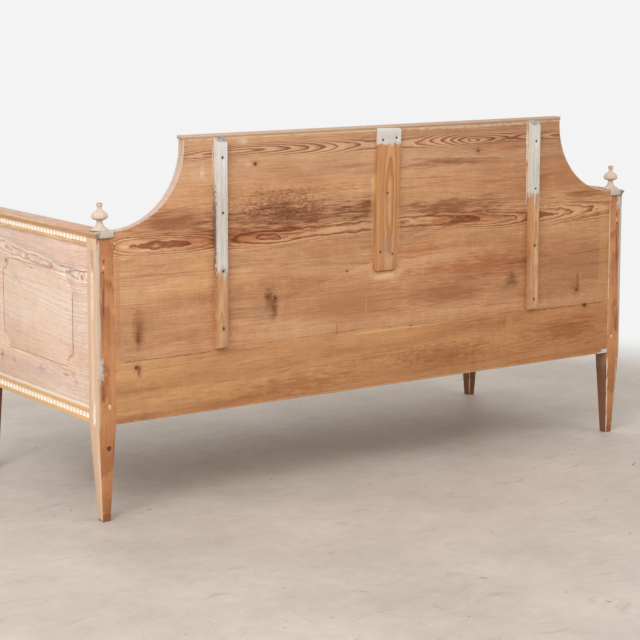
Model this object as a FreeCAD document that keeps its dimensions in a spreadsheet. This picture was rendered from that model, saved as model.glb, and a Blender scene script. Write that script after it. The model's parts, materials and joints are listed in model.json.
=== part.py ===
"""Swedish pull-out bench bed in Gustavian style: a painted pine sofa, since stripped and limed.

The two ends carry the back, the arms and the hinged seat. The front rail slides out on its own pair
of legs and draws a row of slats from between the fixed ones, which makes a bed about twice as deep.

X runs along the bench, +Y points to its back, Z is up, and the floor is at Z = 0. Right means +X, the
right hand side seen from the front. All sizes are in millimetres.
"""
import FreeCAD, Part
import Sketcher
import math
import os

Vector = FreeCAD.Vector
UP = Vector(0, 0, 1)
RIGHTWARDS = Vector(1, 0, 0)
BACKWARDS = Vector(0, 1, 0)
QUARTER_TURN = 90
RIGHT, LEFT = "right", "left"

SIZES = (
    ("overall_length", 1840, "outside to outside of the corner posts"),
    ("overall_depth", 730, "front to back of the corner posts"),
    ("arm_height", 772, "floor to the crown of the arm caps"),
    ("back_rise", 233, "crown of the arm caps to the top of the back"),
    ("seat_height", 447, "floor to the top of the seat lid"),
    ("skirt_height", 260, "floor to the underside of the rails and the back"),
    ("post_width", 50, "corner post, along the bench"),
    ("post_depth", 52, "corner post, front to back"),
    ("taper_height", 260, "floor to the shoulder of the leg's taper"),
    ("foot_inset_side", 14, "taper on each side face of a leg"),
    ("foot_inset_face", 13, "taper on the front and back faces of a leg"),
    ("post_flute_radius", 10, "round of the stopped flute in a post"),
    ("post_flute_depth", 4, "depth of that flute"),
    ("post_flute_margin", 32, "plain wood above that flute"),
    ("cap_thickness", 20, "arm cap at its crown"),
    ("cap_crown", 5, "rise of the crown"),
    ("cap_outer_overhang", 6, "cap past the posts' outer faces"),
    ("cap_inner_overhang", 12, "cap past the posts' inner faces"),
    ("cap_end_overhang", 4, "cap past the posts' front and back faces"),
    ("cap_cove", 8, "hollow under the cap's outer edge"),
    ("cap_nose", 4, "round of the cap's upper edges"),
    ("rail_thickness", 30, "end rails, through their thickness"),
    ("rail_setback", 4, "rail faces behind the post faces"),
    ("arm_rail_height", 24, "rail under the arm cap"),
    ("base_rail_height", 46, "rail at the foot of an end, and of the front"),
    ("base_bevel", 8, "slope on top of the base rails"),
    ("tenon_length", 18, "rail tenons"),
    ("tenon_thickness", 10, "rail tenons"),
    ("tenon_shoulder", 6, "shoulder above and below a tenon"),
    ("panel_thickness", 16, "end panels"),
    ("panel_setback", 9, "panel faces behind the post faces"),
    ("panel_tongue", 8, "panel edges held in their grooves"),
    ("flute_pitch", 19, "spacing of the short flutes along the rails"),
    ("flute_radius", 6, "round of a short flute"),
    ("flute_depth", 3.5, "depth of a short flute"),
    ("flute_height", 14, "height of the row of short flutes"),
    ("arm_flute_fillet", 10, "plain band under the upper row of flutes"),
    ("base_flute_fillet", 12, "plain band under the lower rows of flutes"),
    ("carved_width", 6, "incised line"),
    ("carved_depth", 3, "incised line"),
    ("carved_side_margin", 104, "incised line to the posts"),
    ("carved_foot_margin", 80, "incised line to the base rail"),
    ("carved_head_margin", 89, "incised line to the arm rail"),
    ("carved_notch", 35, "hollow corners of the incised line"),
    ("back_thickness", 20, "boards of the back"),
    ("crest_drop", 23, "straight edge from the top of the back to its hollows"),
    ("cove_sink", 3, "foot of those hollows below the crown of the arm caps"),
    ("top_board_width", 129, "top of the back to the seam under its top board"),
    ("crest_strip_thickness", 9, "strip on top of the back"),
    ("crest_strip_overhang", 3, "that strip past the edge it covers"),
    ("edge_moulding_width", 22, "moulding round the front of the back"),
    ("edge_moulding_thickness", 7, "that moulding"),
    ("board_tongue_thickness", 8, "tongues of the back boards"),
    ("board_tongue_length", 12, "tongues of the middle board"),
    ("board_tenon_length", 30, "tenons of the lower board"),
    ("board_shoulder", 12, "shoulder above and below a board's tongue"),
    ("side_batten_offset", 108, "end of the crest to the middle of a side batten"),
    ("side_batten_width", 30, "side battens"),
    ("side_batten_thickness", 19, "side battens"),
    ("side_batten_margin", 6, "head of a side batten to the top of the back"),
    ("side_batten_slant", 14, "slope of a side batten's head"),
    ("side_batten_bevel", 8, "slope of a side batten's foot"),
    ("centre_batten_width", 79, "centre batten"),
    ("centre_batten_thickness", 10, "centre batten"),
    ("centre_batten_drop", 414, "foot of the centre batten to the top of the back"),
    ("centre_batten_length", 407, "centre batten"),
    ("centre_batten_offset", 2, "middle of the bench to the middle of that foot"),
    ("centre_batten_lean", 2, "degrees that the centre batten leans to the left"),
    ("centre_batten_round", 14, "rounded corners of its foot"),
    ("nail_head_radius", 3.5, "wrought nails"),
    ("nail_head_thickness", 1.5, "wrought nails"),
    ("nail_shank_radius", 1.5, "wrought nails"),
    ("nail_grip", 12, "nail in the board behind a batten"),
    ("peg_radius", 5, "pegs through the lower board's tenons"),
    ("peg_length", 34, "those pegs"),
    ("peg_inset", 18, "peg from the post's inner face"),
    ("peg_rise", 50, "peg above the underside of the back"),
    ("finial_height", 70, "turned finial above the arm cap"),
    ("finial_base_radius", 24, "foot of a finial"),
    ("finial_neck_radius", 9.5, "neck of a finial"),
    ("finial_dome_radius", 22, "cap of a finial"),
    ("finial_stem_radius", 6.5, "stem of a finial"),
    ("finial_tip_radius", 8, "button on the stem"),
    ("finial_seat", 3, "finial let into the arm cap"),
    ("finial_dowel_radius", 6, "dowel under a finial"),
    ("finial_dowel_length", 30, "dowel under a finial"),
    ("running_gap", 0.6, "clearance round the pull-out"),
    ("stretcher_setback", 38, "front of the posts to the fixed stretcher"),
    ("stretcher_thickness", 30, "fixed front stretcher"),
    ("stretcher_height", 40, "fixed front stretcher"),
    ("slat_level", 302, "floor to the underside of the fixed slats"),
    ("slat_thickness", 18, "slats"),
    ("slat_gap", 4, "gap between neighbouring slats"),
    ("slat_pairs", 8, "slats that draw out; there is one more fixed slat"),
    ("slat_lift", 0.4, "drawn slats above the fixed ones"),
    ("slat_end_gap", 4, "slats to the back board"),
    ("slat_ledger_depth", 28, "ledger that carries the slats at the back"),
    ("slat_ledger_height", 28, "that ledger"),
    ("apron_rail_thickness", 20, "moulded rail of the pull-out"),
    ("apron_board_thickness", 12, "board of the pull-out's front"),
    ("bearer_depth", 13, "bearer behind the pull-out's rail"),
    ("bearer_height", 30, "that bearer"),
    ("stop_width", 60, "stop blocks under the drawn slats"),
    ("stop_depth", 24, "stop blocks"),
    ("stop_height", 18, "stop blocks"),
    ("stop_gap", 2, "stop blocks to the slat ledger"),
    ("lid_thickness", 22, "seat lid and the strips round it"),
    ("lid_boards", 3, "boards in the lid"),
    ("lid_gap", 2, "lid to the strips round it"),
    ("lid_ledger_width", 36, "ledgers under the ends of the seat"),
    ("lid_ledger_height", 28, "those ledgers"),
    ("end_strip_width", 30, "fixed strips at the ends of the lid"),
    ("rear_strip_width", 40, "fixed strip that the lid hangs on"),
    ("lid_batten_offset", 278, "ends of the lid to the middle of its battens"),
    ("lid_batten_width", 50, "battens under the lid"),
    ("lid_batten_thickness", 18, "those battens"),
    ("lid_batten_margin", 60, "those battens to the lid's edges"),
    ("hinge_offset", 318, "ends of the lid to the middle of the outer hinges"),
    ("hinge_length", 66, "butt hinges"),
    ("hinge_knuckles", 3, "knuckles on a hinge"),
    ("hinge_plate_height", 18, "hinge leaves"),
    ("hinge_plate_thickness", 1.5, "hinge leaves"),
    ("hinge_knuckle_radius", 3, "hinge knuckles"),
    ("hinge_pin_radius", 1.4, "hinge pins"),
    ("hinge_fit", 0.08, "pin to the bore of its knuckles"),
    ("hinge_play", 0.5, "gap between neighbouring knuckles and over the leaves"),
)

# Heights up a finial, as shares of its height above the arm cap
FINIAL_LIFT_SHARES = {
    "foot_edge": 0.05,
    "flare_top": 0.27,
    "neck_top": 0.36,
    "dome_lip": 0.40,
    "dome_edge": 0.46,
    "dome_top": 0.74,
    "stem_top": 0.92,
    "button": 0.96,
}
# The incised line on the front board: its margin and its hollow corners, as shares of the board's height
APRON_MARGIN_SHARE = 0.235
APRON_NOTCH_SHARE = 0.135
# Places of the nails up a side batten, and up and across the centre batten, as shares of its sizes
RIGHT_NAIL_SHARES = (0.103, 0.373, 0.646, 0.904)
LEFT_NAIL_SHARES = (0.063, 0.347, 0.645, 0.892)
CENTRE_NAIL_SHARES = ((0.12, -0.28), (0.14, 0.26), (0.55, 0.02), (0.93, -0.3), (0.92, 0.3))

doc = FreeCAD.newDocument("PullOutBenchBed")
sheet = doc.addObject("Spreadsheet::Sheet", "Sizes")
for row, (alias, amount, meaning) in enumerate(SIZES, start=1):
    sheet.set(f"A{row}", str(amount))
    sheet.setAlias(f"A{row}", alias)
    sheet.set(f"B{row}", meaning)
doc.recompute()

# Set-out lines that several pieces share
half_length = "(Sizes.overall_length / 2)"
post_inner = f"({half_length} - Sizes.post_width)"
post_middle = f"({half_length} - Sizes.post_width / 2)"
front_face = "(-(Sizes.overall_depth + Sizes.side_batten_thickness - Sizes.cap_end_overhang) / 2)"
back_face = f"({front_face} + Sizes.overall_depth)"
middle_depth = f"({front_face} + Sizes.overall_depth / 2)"
front_post_back = f"({front_face} + Sizes.post_depth)"
rear_post_front = f"({back_face} - Sizes.post_depth)"
rear_post_middle = f"({back_face} - Sizes.post_depth / 2)"
split_line = f"({front_face} + Sizes.post_depth / 2)"
back_inner_face = f"({back_face} - Sizes.back_thickness)"
seat_bearing = "(Sizes.seat_height - Sizes.lid_thickness)"
cap_underside = "(Sizes.arm_height - Sizes.cap_thickness)"
cap_outer = f"({half_length} + Sizes.cap_outer_overhang)"
cap_inner = f"({post_inner} - Sizes.cap_inner_overhang)"
arm_rail_foot = f"({cap_underside} - Sizes.arm_rail_height)"
base_rail_head = "(Sizes.skirt_height + Sizes.base_rail_height)"
rail_outer = f"({half_length} - Sizes.rail_setback)"
panel_outer = f"({half_length} - Sizes.panel_setback)"
panel_inner = f"({panel_outer} - Sizes.panel_thickness)"
end_run = "(Sizes.overall_depth - 2 * Sizes.post_depth)"
front_run = f"(2 * {post_inner})"
back_head = "(Sizes.arm_height + Sizes.back_rise)"
boards_head = f"({back_head} - Sizes.crest_strip_thickness)"
upper_seam = f"({back_head} - Sizes.top_board_width)"
cove_head = f"({back_head} - Sizes.crest_drop)"
cove_foot = "(Sizes.arm_height - Sizes.cove_sink)"
cove_radius = f"({cove_head} - {cove_foot})"
crest_end = f"({post_inner} - {cove_radius})"
side_batten_middle = f"({crest_end} - Sizes.side_batten_offset)"
side_batten_head = f"({back_head} - Sizes.side_batten_margin)"
centre_batten_foot = f"({back_head} - Sizes.centre_batten_drop)"
moulding_face = f"({back_inner_face} - Sizes.edge_moulding_thickness)"
hinge_line = f"({back_inner_face} - Sizes.rear_strip_width - Sizes.lid_gap)"
hinge_height = "(Sizes.seat_height + Sizes.hinge_knuckle_radius)"
strip_inner = f"({post_inner} - Sizes.end_strip_width)"
stretcher_front = f"({front_face} + Sizes.stretcher_setback)"
stretcher_back = f"({stretcher_front} + Sizes.stretcher_thickness)"
apron_front = f"({front_face} + Sizes.rail_setback)"
apron_back = f"({apron_front} + Sizes.apron_rail_thickness)"
apron_head = f"({seat_bearing} - Sizes.running_gap)"
drawn_level = "(Sizes.slat_level + Sizes.slat_lift)"
slat_width = (f"(({front_run} - (2 * Sizes.slat_pairs + 2) * Sizes.slat_gap)"
              " / (2 * Sizes.slat_pairs + 1))")

pieces = []


def worth(expression):
    """Work out an expression on the sheet's sizes."""
    return float(sheet.evalExpression(expression))


def keep(piece):
    """Note a finished piece, which is written to a file under its own label."""
    pieces.append(piece)
    return piece


def timber(name, across, along, upward):
    """Make a squared piece between the (low, high) lines along X, Y and Z."""
    piece = doc.addObject("Part::Box", name)
    lines = (("Length", "x", across), ("Width", "y", along), ("Height", "z", upward))
    for measure, axis, (low, high) in lines:
        piece.setExpression(measure, f"({high}) - ({low})")
        piece.setExpression(f"Placement.Base.{axis}", low)
    return piece


def rod(name, place, radius, length, axis=UP):
    """Make a round piece that starts at a place and runs its length along an axis."""
    piece = doc.addObject("Part::Cylinder", name)
    piece.setExpression("Radius", radius)
    piece.setExpression("Height", length)
    piece.Placement = FreeCAD.Placement(Vector(), FreeCAD.Rotation(UP, axis))
    for letter, line in zip("xyz", place):
        piece.setExpression(f"Placement.Base.{letter}", line)
    return piece


def joined(name, *parts):
    """Glue parts into one solid."""
    whole = doc.addObject("Part::MultiFuse", name)
    whole.Shapes = list(parts)
    whole.Refine = True
    return whole


def gathered(name, parts):
    """Gather separate solids under one name."""
    group = doc.addObject("Part::Compound", name)
    group.Links = list(parts)
    return group


def cut_from(name, blank, *tools):
    """Take the room of one or more tools out of a blank."""
    result = doc.addObject("Part::Cut", name)
    result.Base = blank
    result.Tool = tools[0] if len(tools) == 1 else gathered(f"{name}_cutters", tools)
    result.Refine = True
    return result


def shared(name, first, second):
    """Keep the room that two solids share."""
    result = doc.addObject("Part::Common", name)
    result.Base = first
    result.Tool = second
    result.Refine = True
    return result


def mirrored(name, original):
    """Make the left hand twin of a right hand piece."""
    twin = doc.addObject("Part::Mirroring", name)
    twin.Source = original
    twin.Normal = RIGHTWARDS
    twin.Base = Vector()
    return twin


def origin_part(body, role):
    """Find one of a body's own origin planes or axes by its role."""
    return next(item for item in body.Origin.OriginFeatures if item.Role == role)


def sketch_on(body, name, role, offset="0"):
    """Start a sketch on one of the body's origin planes, moved along the plane's normal."""
    sketch = body.newObject("Sketcher::SketchObject", name)
    sketch.AttachmentSupport = (origin_part(body, role), [""])
    sketch.MapMode = "FlatFace"
    sketch.setExpression("AttachmentOffset.Base.z", offset)
    return sketch


def bind(sketch, name, line, kind, *ends):
    """Add one dimension to a sketch and bind it to an expression.

    The ends are an edge's number, or pairs of an edge and its start (1), end (2) or centre (3). The pair
    -1, 1 is the sketch's origin.
    """
    number = sketch.addConstraint(Sketcher.Constraint(kind, *ends, worth(line)))
    sketch.renameConstraint(number, name)
    sketch.setExpression(f"Constraints.{name}", line)


def arc_between(start, end, radius, side):
    """Make the short arc from start to end whose centre lies on the left (1) or the right (-1)."""
    chord = end - start
    rise = math.sqrt(max(radius ** 2 - (chord.Length / 2) ** 2, 0))
    centre = (start + end) / 2 + Vector(-chord.y, chord.x, 0).normalize() * (side * rise)
    first, last = (start, end) if side > 0 else (end, start)
    opening, closing = (math.atan2(spot.y - centre.y, spot.x - centre.x) for spot in (first, last))
    if closing < opening:
        closing += 2 * math.pi
    return Part.ArcOfCircle(Part.Circle(centre, UP, radius), opening, closing)


def draw_outline(sketch, corners):
    """Close an outline through corners given as pairs of expressions, and tie each to the sizes.

    A corner of (across, up, radius, side) is left by an arc instead of a straight edge.
    """
    first = sketch.GeometryCount
    count = len(corners)
    spots = [Vector(worth(corner[0]), worth(corner[1]), 0) for corner in corners]
    ends = []
    for index, corner in enumerate(corners):
        start, end = spots[index], spots[(index + 1) % count]
        if len(corner) == 2:
            edge = Part.LineSegment(start, end)
        else:
            edge = arc_between(start, end, worth(corner[2]), corner[3])
        runs_on = len(corner) == 2 or corner[3] > 0
        ends.append((1, 2) if runs_on else (2, 1))
        sketch.addGeometry(edge, False)
    for index, corner in enumerate(corners):
        edge, following = first + index, first + (index + 1) % count
        head, tail = ends[index]
        next_head = ends[(index + 1) % count][0]
        sketch.addConstraint(Sketcher.Constraint("Coincident", edge, tail, following, next_head))
        for kind, line in zip(("DistanceX", "DistanceY"), corner):
            bind(sketch, f"{kind}{edge}", line, kind, -1, 1, edge, head)
        if len(corner) > 2:
            bind(sketch, f"Round{edge}", corner[2], "Radius", edge)


def padded(body, sketch, length):
    """Raise a sketch to a solid along its plane's normal."""
    pad = body.newObject("PartDesign::Pad", f"{body.Name}_pad")
    pad.Profile = sketch
    pad.setExpression("Length", length)
    return pad


def pocketed(body, name, sketch, depth):
    """Sink a sketch into the body, against its plane's normal."""
    pocket = body.newObject("PartDesign::Pocket", name)
    pocket.Profile = sketch
    pocket.setExpression("Length", depth)
    return pocket


def section_body(name, role, offset, corners, length):
    """Make a body of one section, raised along the normal of an origin plane."""
    body = doc.addObject("PartDesign::Body", name)
    sketch = sketch_on(body, f"{name}_section", role, offset)
    draw_outline(sketch, corners)
    padded(body, sketch, length)
    return body


def notched_line(left, right, foot, head, notch):
    """Give the corners of an upright rectangle whose four corners are hollow quarter rounds."""
    return (
        (f"{left} + {notch}", foot),
        (f"{right} - {notch}", foot, notch, -1),
        (right, f"{foot} + {notch}"),
        (right, f"{head} - {notch}", notch, -1),
        (f"{right} - {notch}", head),
        (f"{left} + {notch}", head, notch, -1),
        (left, f"{head} - {notch}"),
        (left, f"{foot} + {notch}", notch, -1),
    )


def carve_line(body, role, offset, left, right, foot, head, notch):
    """Incise a line of even width, with hollow corners, into a panel's face."""
    sketch = sketch_on(body, f"{body.Name}_line", role, offset)
    half = "Sizes.carved_width / 2"
    inner_notch = f"({notch} - Sizes.carved_width * (sqrt(2) - 1))"
    draw_outline(sketch, notched_line(f"({left} - {half})", f"({right} + {half})",
                                      f"({foot} - {half})", f"({head} + {half})", notch))
    draw_outline(sketch, notched_line(f"({left} + {half})", f"({right} - {half})",
                                      f"({foot} + {half})", f"({head} - {half})", inner_notch))
    return pocketed(body, f"{body.Name}_carving", sketch, "Sizes.carved_depth")


def moulded_rail(name, run, thickness, height, bevel, fillet):
    """Make a rail that faces -Y and runs along X about its middle, with its row of short flutes."""
    corners = [(0, 0), (thickness, 0), (thickness, height)]
    corners += [(0, height)] if bevel is None else [(bevel, height), (0, f"{height} - {bevel}")]
    corners = [tuple(str(line) for line in corner) for corner in corners]
    body = section_body(name, "YZ_Plane", f"-{run} / 2", corners, run)
    count = f"floor({run} / Sizes.flute_pitch)"
    row = f"(({count} - 1) * Sizes.flute_pitch)"
    sketch = sketch_on(body, f"{name}_flute_section", "XY_Plane", f"{fillet} + Sizes.flute_height")
    across, along = f"-{row} / 2", "Sizes.flute_depth - Sizes.flute_radius"
    centre = Vector(worth(across), worth(along), 0)
    edge = sketch.addGeometry(Part.Circle(centre, UP, worth("Sizes.flute_radius")), False)
    bind(sketch, "Across", across, "DistanceX", -1, 1, edge, 3)
    bind(sketch, "Along", along, "DistanceY", -1, 1, edge, 3)
    bind(sketch, "Round", "Sizes.flute_radius", "Radius", edge)
    flute = pocketed(body, f"{name}_flute", sketch, "Sizes.flute_height")
    flutes = body.newObject("PartDesign::LinearPattern", f"{name}_flutes")
    flutes.Originals = [flute]
    flutes.Direction = (origin_part(body, "X_Axis"), [""])
    flutes.setExpression("Occurrences", count)
    flutes.setExpression("Length", row)
    body.Tip = flutes
    return body


def leg(name, inner, outer, low, high, low_inset, high_inset):
    """Taper a leg from its shoulder to its foot; the insets narrow its front and back faces."""
    wedge = doc.addObject("Part::Wedge", name)
    width, depth = f"({outer} - {inner})", f"({high} - {low})"
    wedge.Placement = FreeCAD.Placement(Vector(), FreeCAD.Rotation(RIGHTWARDS, -QUARTER_TURN))
    settings = {
        "Xmin": "0", "Xmax": width, "Ymin": "0", "Ymax": "Sizes.taper_height", "Zmin": "0", "Zmax": depth,
        "X2min": "Sizes.foot_inset_side", "X2max": f"{width} - Sizes.foot_inset_side",
        "Z2min": low_inset, "Z2max": f"{depth} - {high_inset}",
        "Placement.Base.x": inner, "Placement.Base.y": low, "Placement.Base.z": "Sizes.taper_height",
    }
    for setting, line in settings.items():
        wedge.setExpression(setting, line)
    return wedge


def turned_finial(name, across, along):
    """Turn a finial: flared foot, neck, domed cap, stem and button, with the dowel that holds it."""
    body = doc.addObject("PartDesign::Body", name)
    lift = {key: f"(Sizes.finial_height * {share})" for key, share in FINIAL_LIFT_SHARES.items()}
    seat = "(-Sizes.finial_seat)"
    dowel_foot = "(-Sizes.finial_seat - Sizes.finial_dowel_length)"
    flare = "(Sizes.finial_base_radius - Sizes.finial_neck_radius)"
    shoulder = "((Sizes.finial_stem_radius + Sizes.finial_tip_radius) / 2)"
    lip = "((Sizes.finial_neck_radius + Sizes.finial_dome_radius) / 2)"
    sketch = sketch_on(body, f"{name}_section", "XZ_Plane")
    draw_outline(sketch, (
        ("0", dowel_foot),
        ("Sizes.finial_dowel_radius", dowel_foot),
        ("Sizes.finial_dowel_radius", seat),
        ("Sizes.finial_base_radius", seat),
        ("Sizes.finial_base_radius", lift["foot_edge"], f"{flare} * sqrt(2)", -1),
        ("Sizes.finial_neck_radius", lift["flare_top"]),
        ("Sizes.finial_neck_radius", lift["neck_top"]),
        (lip, lift["dome_lip"]),
        ("Sizes.finial_dome_radius", lift["dome_edge"], "Sizes.finial_dome_radius", 1),
        (shoulder, lift["dome_top"]),
        ("Sizes.finial_stem_radius", lift["dome_top"]),
        ("Sizes.finial_stem_radius", lift["stem_top"]),
        ("Sizes.finial_tip_radius", lift["button"]),
        ("Sizes.finial_tip_radius", "Sizes.finial_height"),
        ("0", "Sizes.finial_height"),
    ))
    turning = body.newObject("PartDesign::Revolution", f"{name}_turning")
    turning.Profile = sketch
    turning.ReferenceAxis = (sketch, ["V_Axis"])
    for letter, line in zip("xyz", (across, along, "Sizes.arm_height")):
        body.setExpression(f"Placement.Base.{letter}", line)
    return body


def nail(name, across, surface, height, thickness):
    """Drive a nail forwards through a batten, its head flush with the batten's back face."""
    place = (across, surface, height)
    reach = f"{thickness} + Sizes.nail_grip"
    head = rod(f"{name}_head", place, "Sizes.nail_head_radius", "Sizes.nail_head_thickness", -BACKWARDS)
    shank = rod(f"{name}_shank", place, "Sizes.nail_shank_radius", reach, -BACKWARDS)
    return joined(name, head, shank)


# Turned finials, one on each corner post
finials = {}
for end, along in (("rear", rear_post_middle), ("front", split_line)):
    for side, across in ((RIGHT, post_middle), (LEFT, f"-{post_middle}")):
        finials[end, side] = keep(turned_finial(f"finial_{end}_{side}", across, along))

# End frame: a carved panel held in the grooves of two posts and two moulded rails
end_panel = section_body(
    "end_panel_right", "YZ_Plane", panel_inner,
    (
        (f"{front_post_back} - Sizes.panel_tongue", f"{base_rail_head} - Sizes.panel_tongue"),
        (f"{rear_post_front} + Sizes.panel_tongue", f"{base_rail_head} - Sizes.panel_tongue"),
        (f"{rear_post_front} + Sizes.panel_tongue", f"{arm_rail_foot} + Sizes.panel_tongue"),
        (f"{front_post_back} - Sizes.panel_tongue", f"{arm_rail_foot} + Sizes.panel_tongue"),
    ),
    "Sizes.panel_thickness")
carve_line(end_panel, "YZ_Plane", panel_outer,
           f"({front_post_back} + Sizes.carved_side_margin)",
           f"({rear_post_front} - Sizes.carved_side_margin)",
           f"({base_rail_head} + Sizes.carved_foot_margin)",
           f"({arm_rail_foot} - Sizes.carved_head_margin)",
           "Sizes.carved_notch")
keep(end_panel)


def end_rail(name, foot, height, bevel, fillet):
    """Place a moulded rail in the right hand end, with its tenons and the panel's groove."""
    moulding = moulded_rail(f"{name}_moulding", end_run, "Sizes.rail_thickness", height, bevel, fillet)
    moulding.Placement = FreeCAD.Placement(Vector(), FreeCAD.Rotation(UP, QUARTER_TURN))
    for letter, line in zip("xyz", (rail_outer, middle_depth, foot)):
        moulding.setExpression(f"Placement.Base.{letter}", line)
    thickness_middle = f"({rail_outer} - Sizes.rail_thickness / 2)"
    tenon = timber(f"{name}_tenon",
                   (f"{thickness_middle} - Sizes.tenon_thickness / 2",
                    f"{thickness_middle} + Sizes.tenon_thickness / 2"),
                   (f"{front_post_back} - Sizes.tenon_length", f"{rear_post_front} + Sizes.tenon_length"),
                   (f"{foot} + Sizes.tenon_shoulder", f"{foot} + {height} - Sizes.tenon_shoulder"))
    return keep(cut_from(name, joined(f"{name}_blank", moulding, tenon), end_panel))


arm_rail = end_rail("arm_rail_right", arm_rail_foot, "Sizes.arm_rail_height", None, "Sizes.arm_flute_fillet")
base_rail = end_rail("base_rail_right", "Sizes.skirt_height", "Sizes.base_rail_height", "Sizes.base_bevel",
                     "Sizes.base_flute_fillet")

# Arm cap: crowned on top, with a round nose over a hollow, cleared for the back and the finials
crown_foot = "(Sizes.arm_height - Sizes.cap_crown)"
crown_chord = f"({cap_outer} - {cap_inner} - 2 * Sizes.cap_nose)"
crown_radius = f"(({crown_chord} ^ 2 / 4 + Sizes.cap_crown ^ 2) / (2 * Sizes.cap_crown))"
cap_blank = section_body(
    "arm_cap_blank", "XZ_Plane", f"-({back_face} + Sizes.cap_end_overhang)",
    (
        (f"{cap_inner} + Sizes.cap_nose", cap_underside),
        (f"{cap_outer} - Sizes.cap_cove", cap_underside, "Sizes.cap_cove", -1),
        (cap_outer, f"{cap_underside} + Sizes.cap_cove"),
        (cap_outer, f"{crown_foot} - Sizes.cap_nose", "Sizes.cap_nose", 1),
        (f"{cap_outer} - Sizes.cap_nose", crown_foot, crown_radius, 1),
        (f"{cap_inner} + Sizes.cap_nose", crown_foot, "Sizes.cap_nose", 1),
        (cap_inner, f"{crown_foot} - Sizes.cap_nose"),
        (cap_inner, f"{cap_underside} + Sizes.cap_nose", "Sizes.cap_nose", 1),
    ),
    "Sizes.overall_depth + 2 * Sizes.cap_end_overhang")
back_clearance = timber("arm_cap_notch",
                        (f"{cap_inner} - Sizes.cap_nose", post_inner),
                        (moulding_face, f"{back_face} + 2 * Sizes.cap_end_overhang"),
                        (f"{cap_underside} - Sizes.cap_nose", "Sizes.arm_height + Sizes.cap_nose"))
arm_cap = keep(cut_from("arm_cap_right", cap_blank, back_clearance,
                        finials["rear", RIGHT], finials["front", RIGHT]))

# Battens on the back and the nails that hold them
side_batten_back = f"({back_face} + Sizes.side_batten_thickness)"
centre_batten_back = f"({back_face} + Sizes.centre_batten_thickness)"
side_batten_blank = section_body(
    "side_batten_blank", "YZ_Plane", f"{side_batten_middle} - Sizes.side_batten_width / 2",
    (
        (back_face, seat_bearing),
        (side_batten_back, f"{seat_bearing} + Sizes.side_batten_bevel"),
        (side_batten_back, f"{side_batten_head} - Sizes.side_batten_slant"),
        (back_face, side_batten_head),
    ),
    "Sizes.side_batten_width")
side_batten_twin = mirrored("side_batten_twin", side_batten_blank)
centre_batten_blank = section_body(
    "centre_batten_blank", "XZ_Plane", "0",
    (
        ("-Sizes.centre_batten_width / 2 + Sizes.centre_batten_round", "0"),
        ("Sizes.centre_batten_width / 2 - Sizes.centre_batten_round", "0", "Sizes.centre_batten_round", 1),
        ("Sizes.centre_batten_width / 2", "Sizes.centre_batten_round"),
        ("Sizes.centre_batten_width / 2", "Sizes.centre_batten_length"),
        ("-Sizes.centre_batten_width / 2", "Sizes.centre_batten_length"),
        ("-Sizes.centre_batten_width / 2", "Sizes.centre_batten_round", "Sizes.centre_batten_round", 1),
    ),
    "Sizes.centre_batten_thickness")
centre_batten_blank.Placement = FreeCAD.Placement(Vector(), FreeCAD.Rotation(-BACKWARDS, 1))
centre_batten_blank.setExpression("Placement.Rotation.Angle", "Sizes.centre_batten_lean")
for letter, line in zip("xyz", ("Sizes.centre_batten_offset", centre_batten_back, centre_batten_foot)):
    centre_batten_blank.setExpression(f"Placement.Base.{letter}", line)

nails = []
for side, sign, shares in ((RIGHT, "", RIGHT_NAIL_SHARES), (LEFT, "-", LEFT_NAIL_SHARES)):
    for number, share in enumerate(shares, start=1):
        height = f"{seat_bearing} + ({side_batten_head} - {seat_bearing}) * {share}"
        nails.append(nail(f"nail_{side}_{number}", f"{sign}{side_batten_middle}", side_batten_back,
                          height, "Sizes.side_batten_thickness"))
for number, (rise_share, across_share) in enumerate(CENTRE_NAIL_SHARES, start=1):
    rise = f"(Sizes.centre_batten_length * {rise_share})"
    across = (f"Sizes.centre_batten_offset - {rise} * sin(Sizes.centre_batten_lean * 1deg)"
              f" + Sizes.centre_batten_width * {across_share}")
    nails.append(nail(f"nail_centre_{number}", across, centre_batten_back,
                      f"{centre_batten_foot} + {rise}", "Sizes.centre_batten_thickness"))
batten_nails = keep(gathered("batten_nails", nails))
keep(cut_from("side_batten_right", side_batten_blank, batten_nails))
keep(cut_from("side_batten_left", side_batten_twin, batten_nails))
keep(cut_from("centre_batten", centre_batten_blank, batten_nails))

# Back: three boards sawn to one outline, tongued into the rear posts
back_outline = section_body(
    "back_outline", "XZ_Plane", f"-{back_face}",
    (
        (f"-{post_inner}", "Sizes.skirt_height"),
        (post_inner, "Sizes.skirt_height"),
        (post_inner, cove_foot, cove_radius, -1),
        (crest_end, cove_head),
        (crest_end, boards_head),
        (f"-{crest_end}", boards_head),
        (f"-{crest_end}", cove_head, cove_radius, -1),
        (f"-{post_inner}", cove_foot),
    ),
    "Sizes.back_thickness")
pegs = []
for side, sign in ((RIGHT, ""), (LEFT, "-")):
    place = (f"{sign}({post_inner} + Sizes.peg_inset)", back_face, "Sizes.skirt_height + Sizes.peg_rise")
    pegs.append(rod(f"peg_{side}", place, "Sizes.peg_radius", "Sizes.peg_length", -BACKWARDS))
tenon_pegs = keep(gathered("tenon_pegs", pegs))
tongue_back = f"({back_face} - (Sizes.back_thickness - Sizes.board_tongue_thickness) / 2)"


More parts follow.
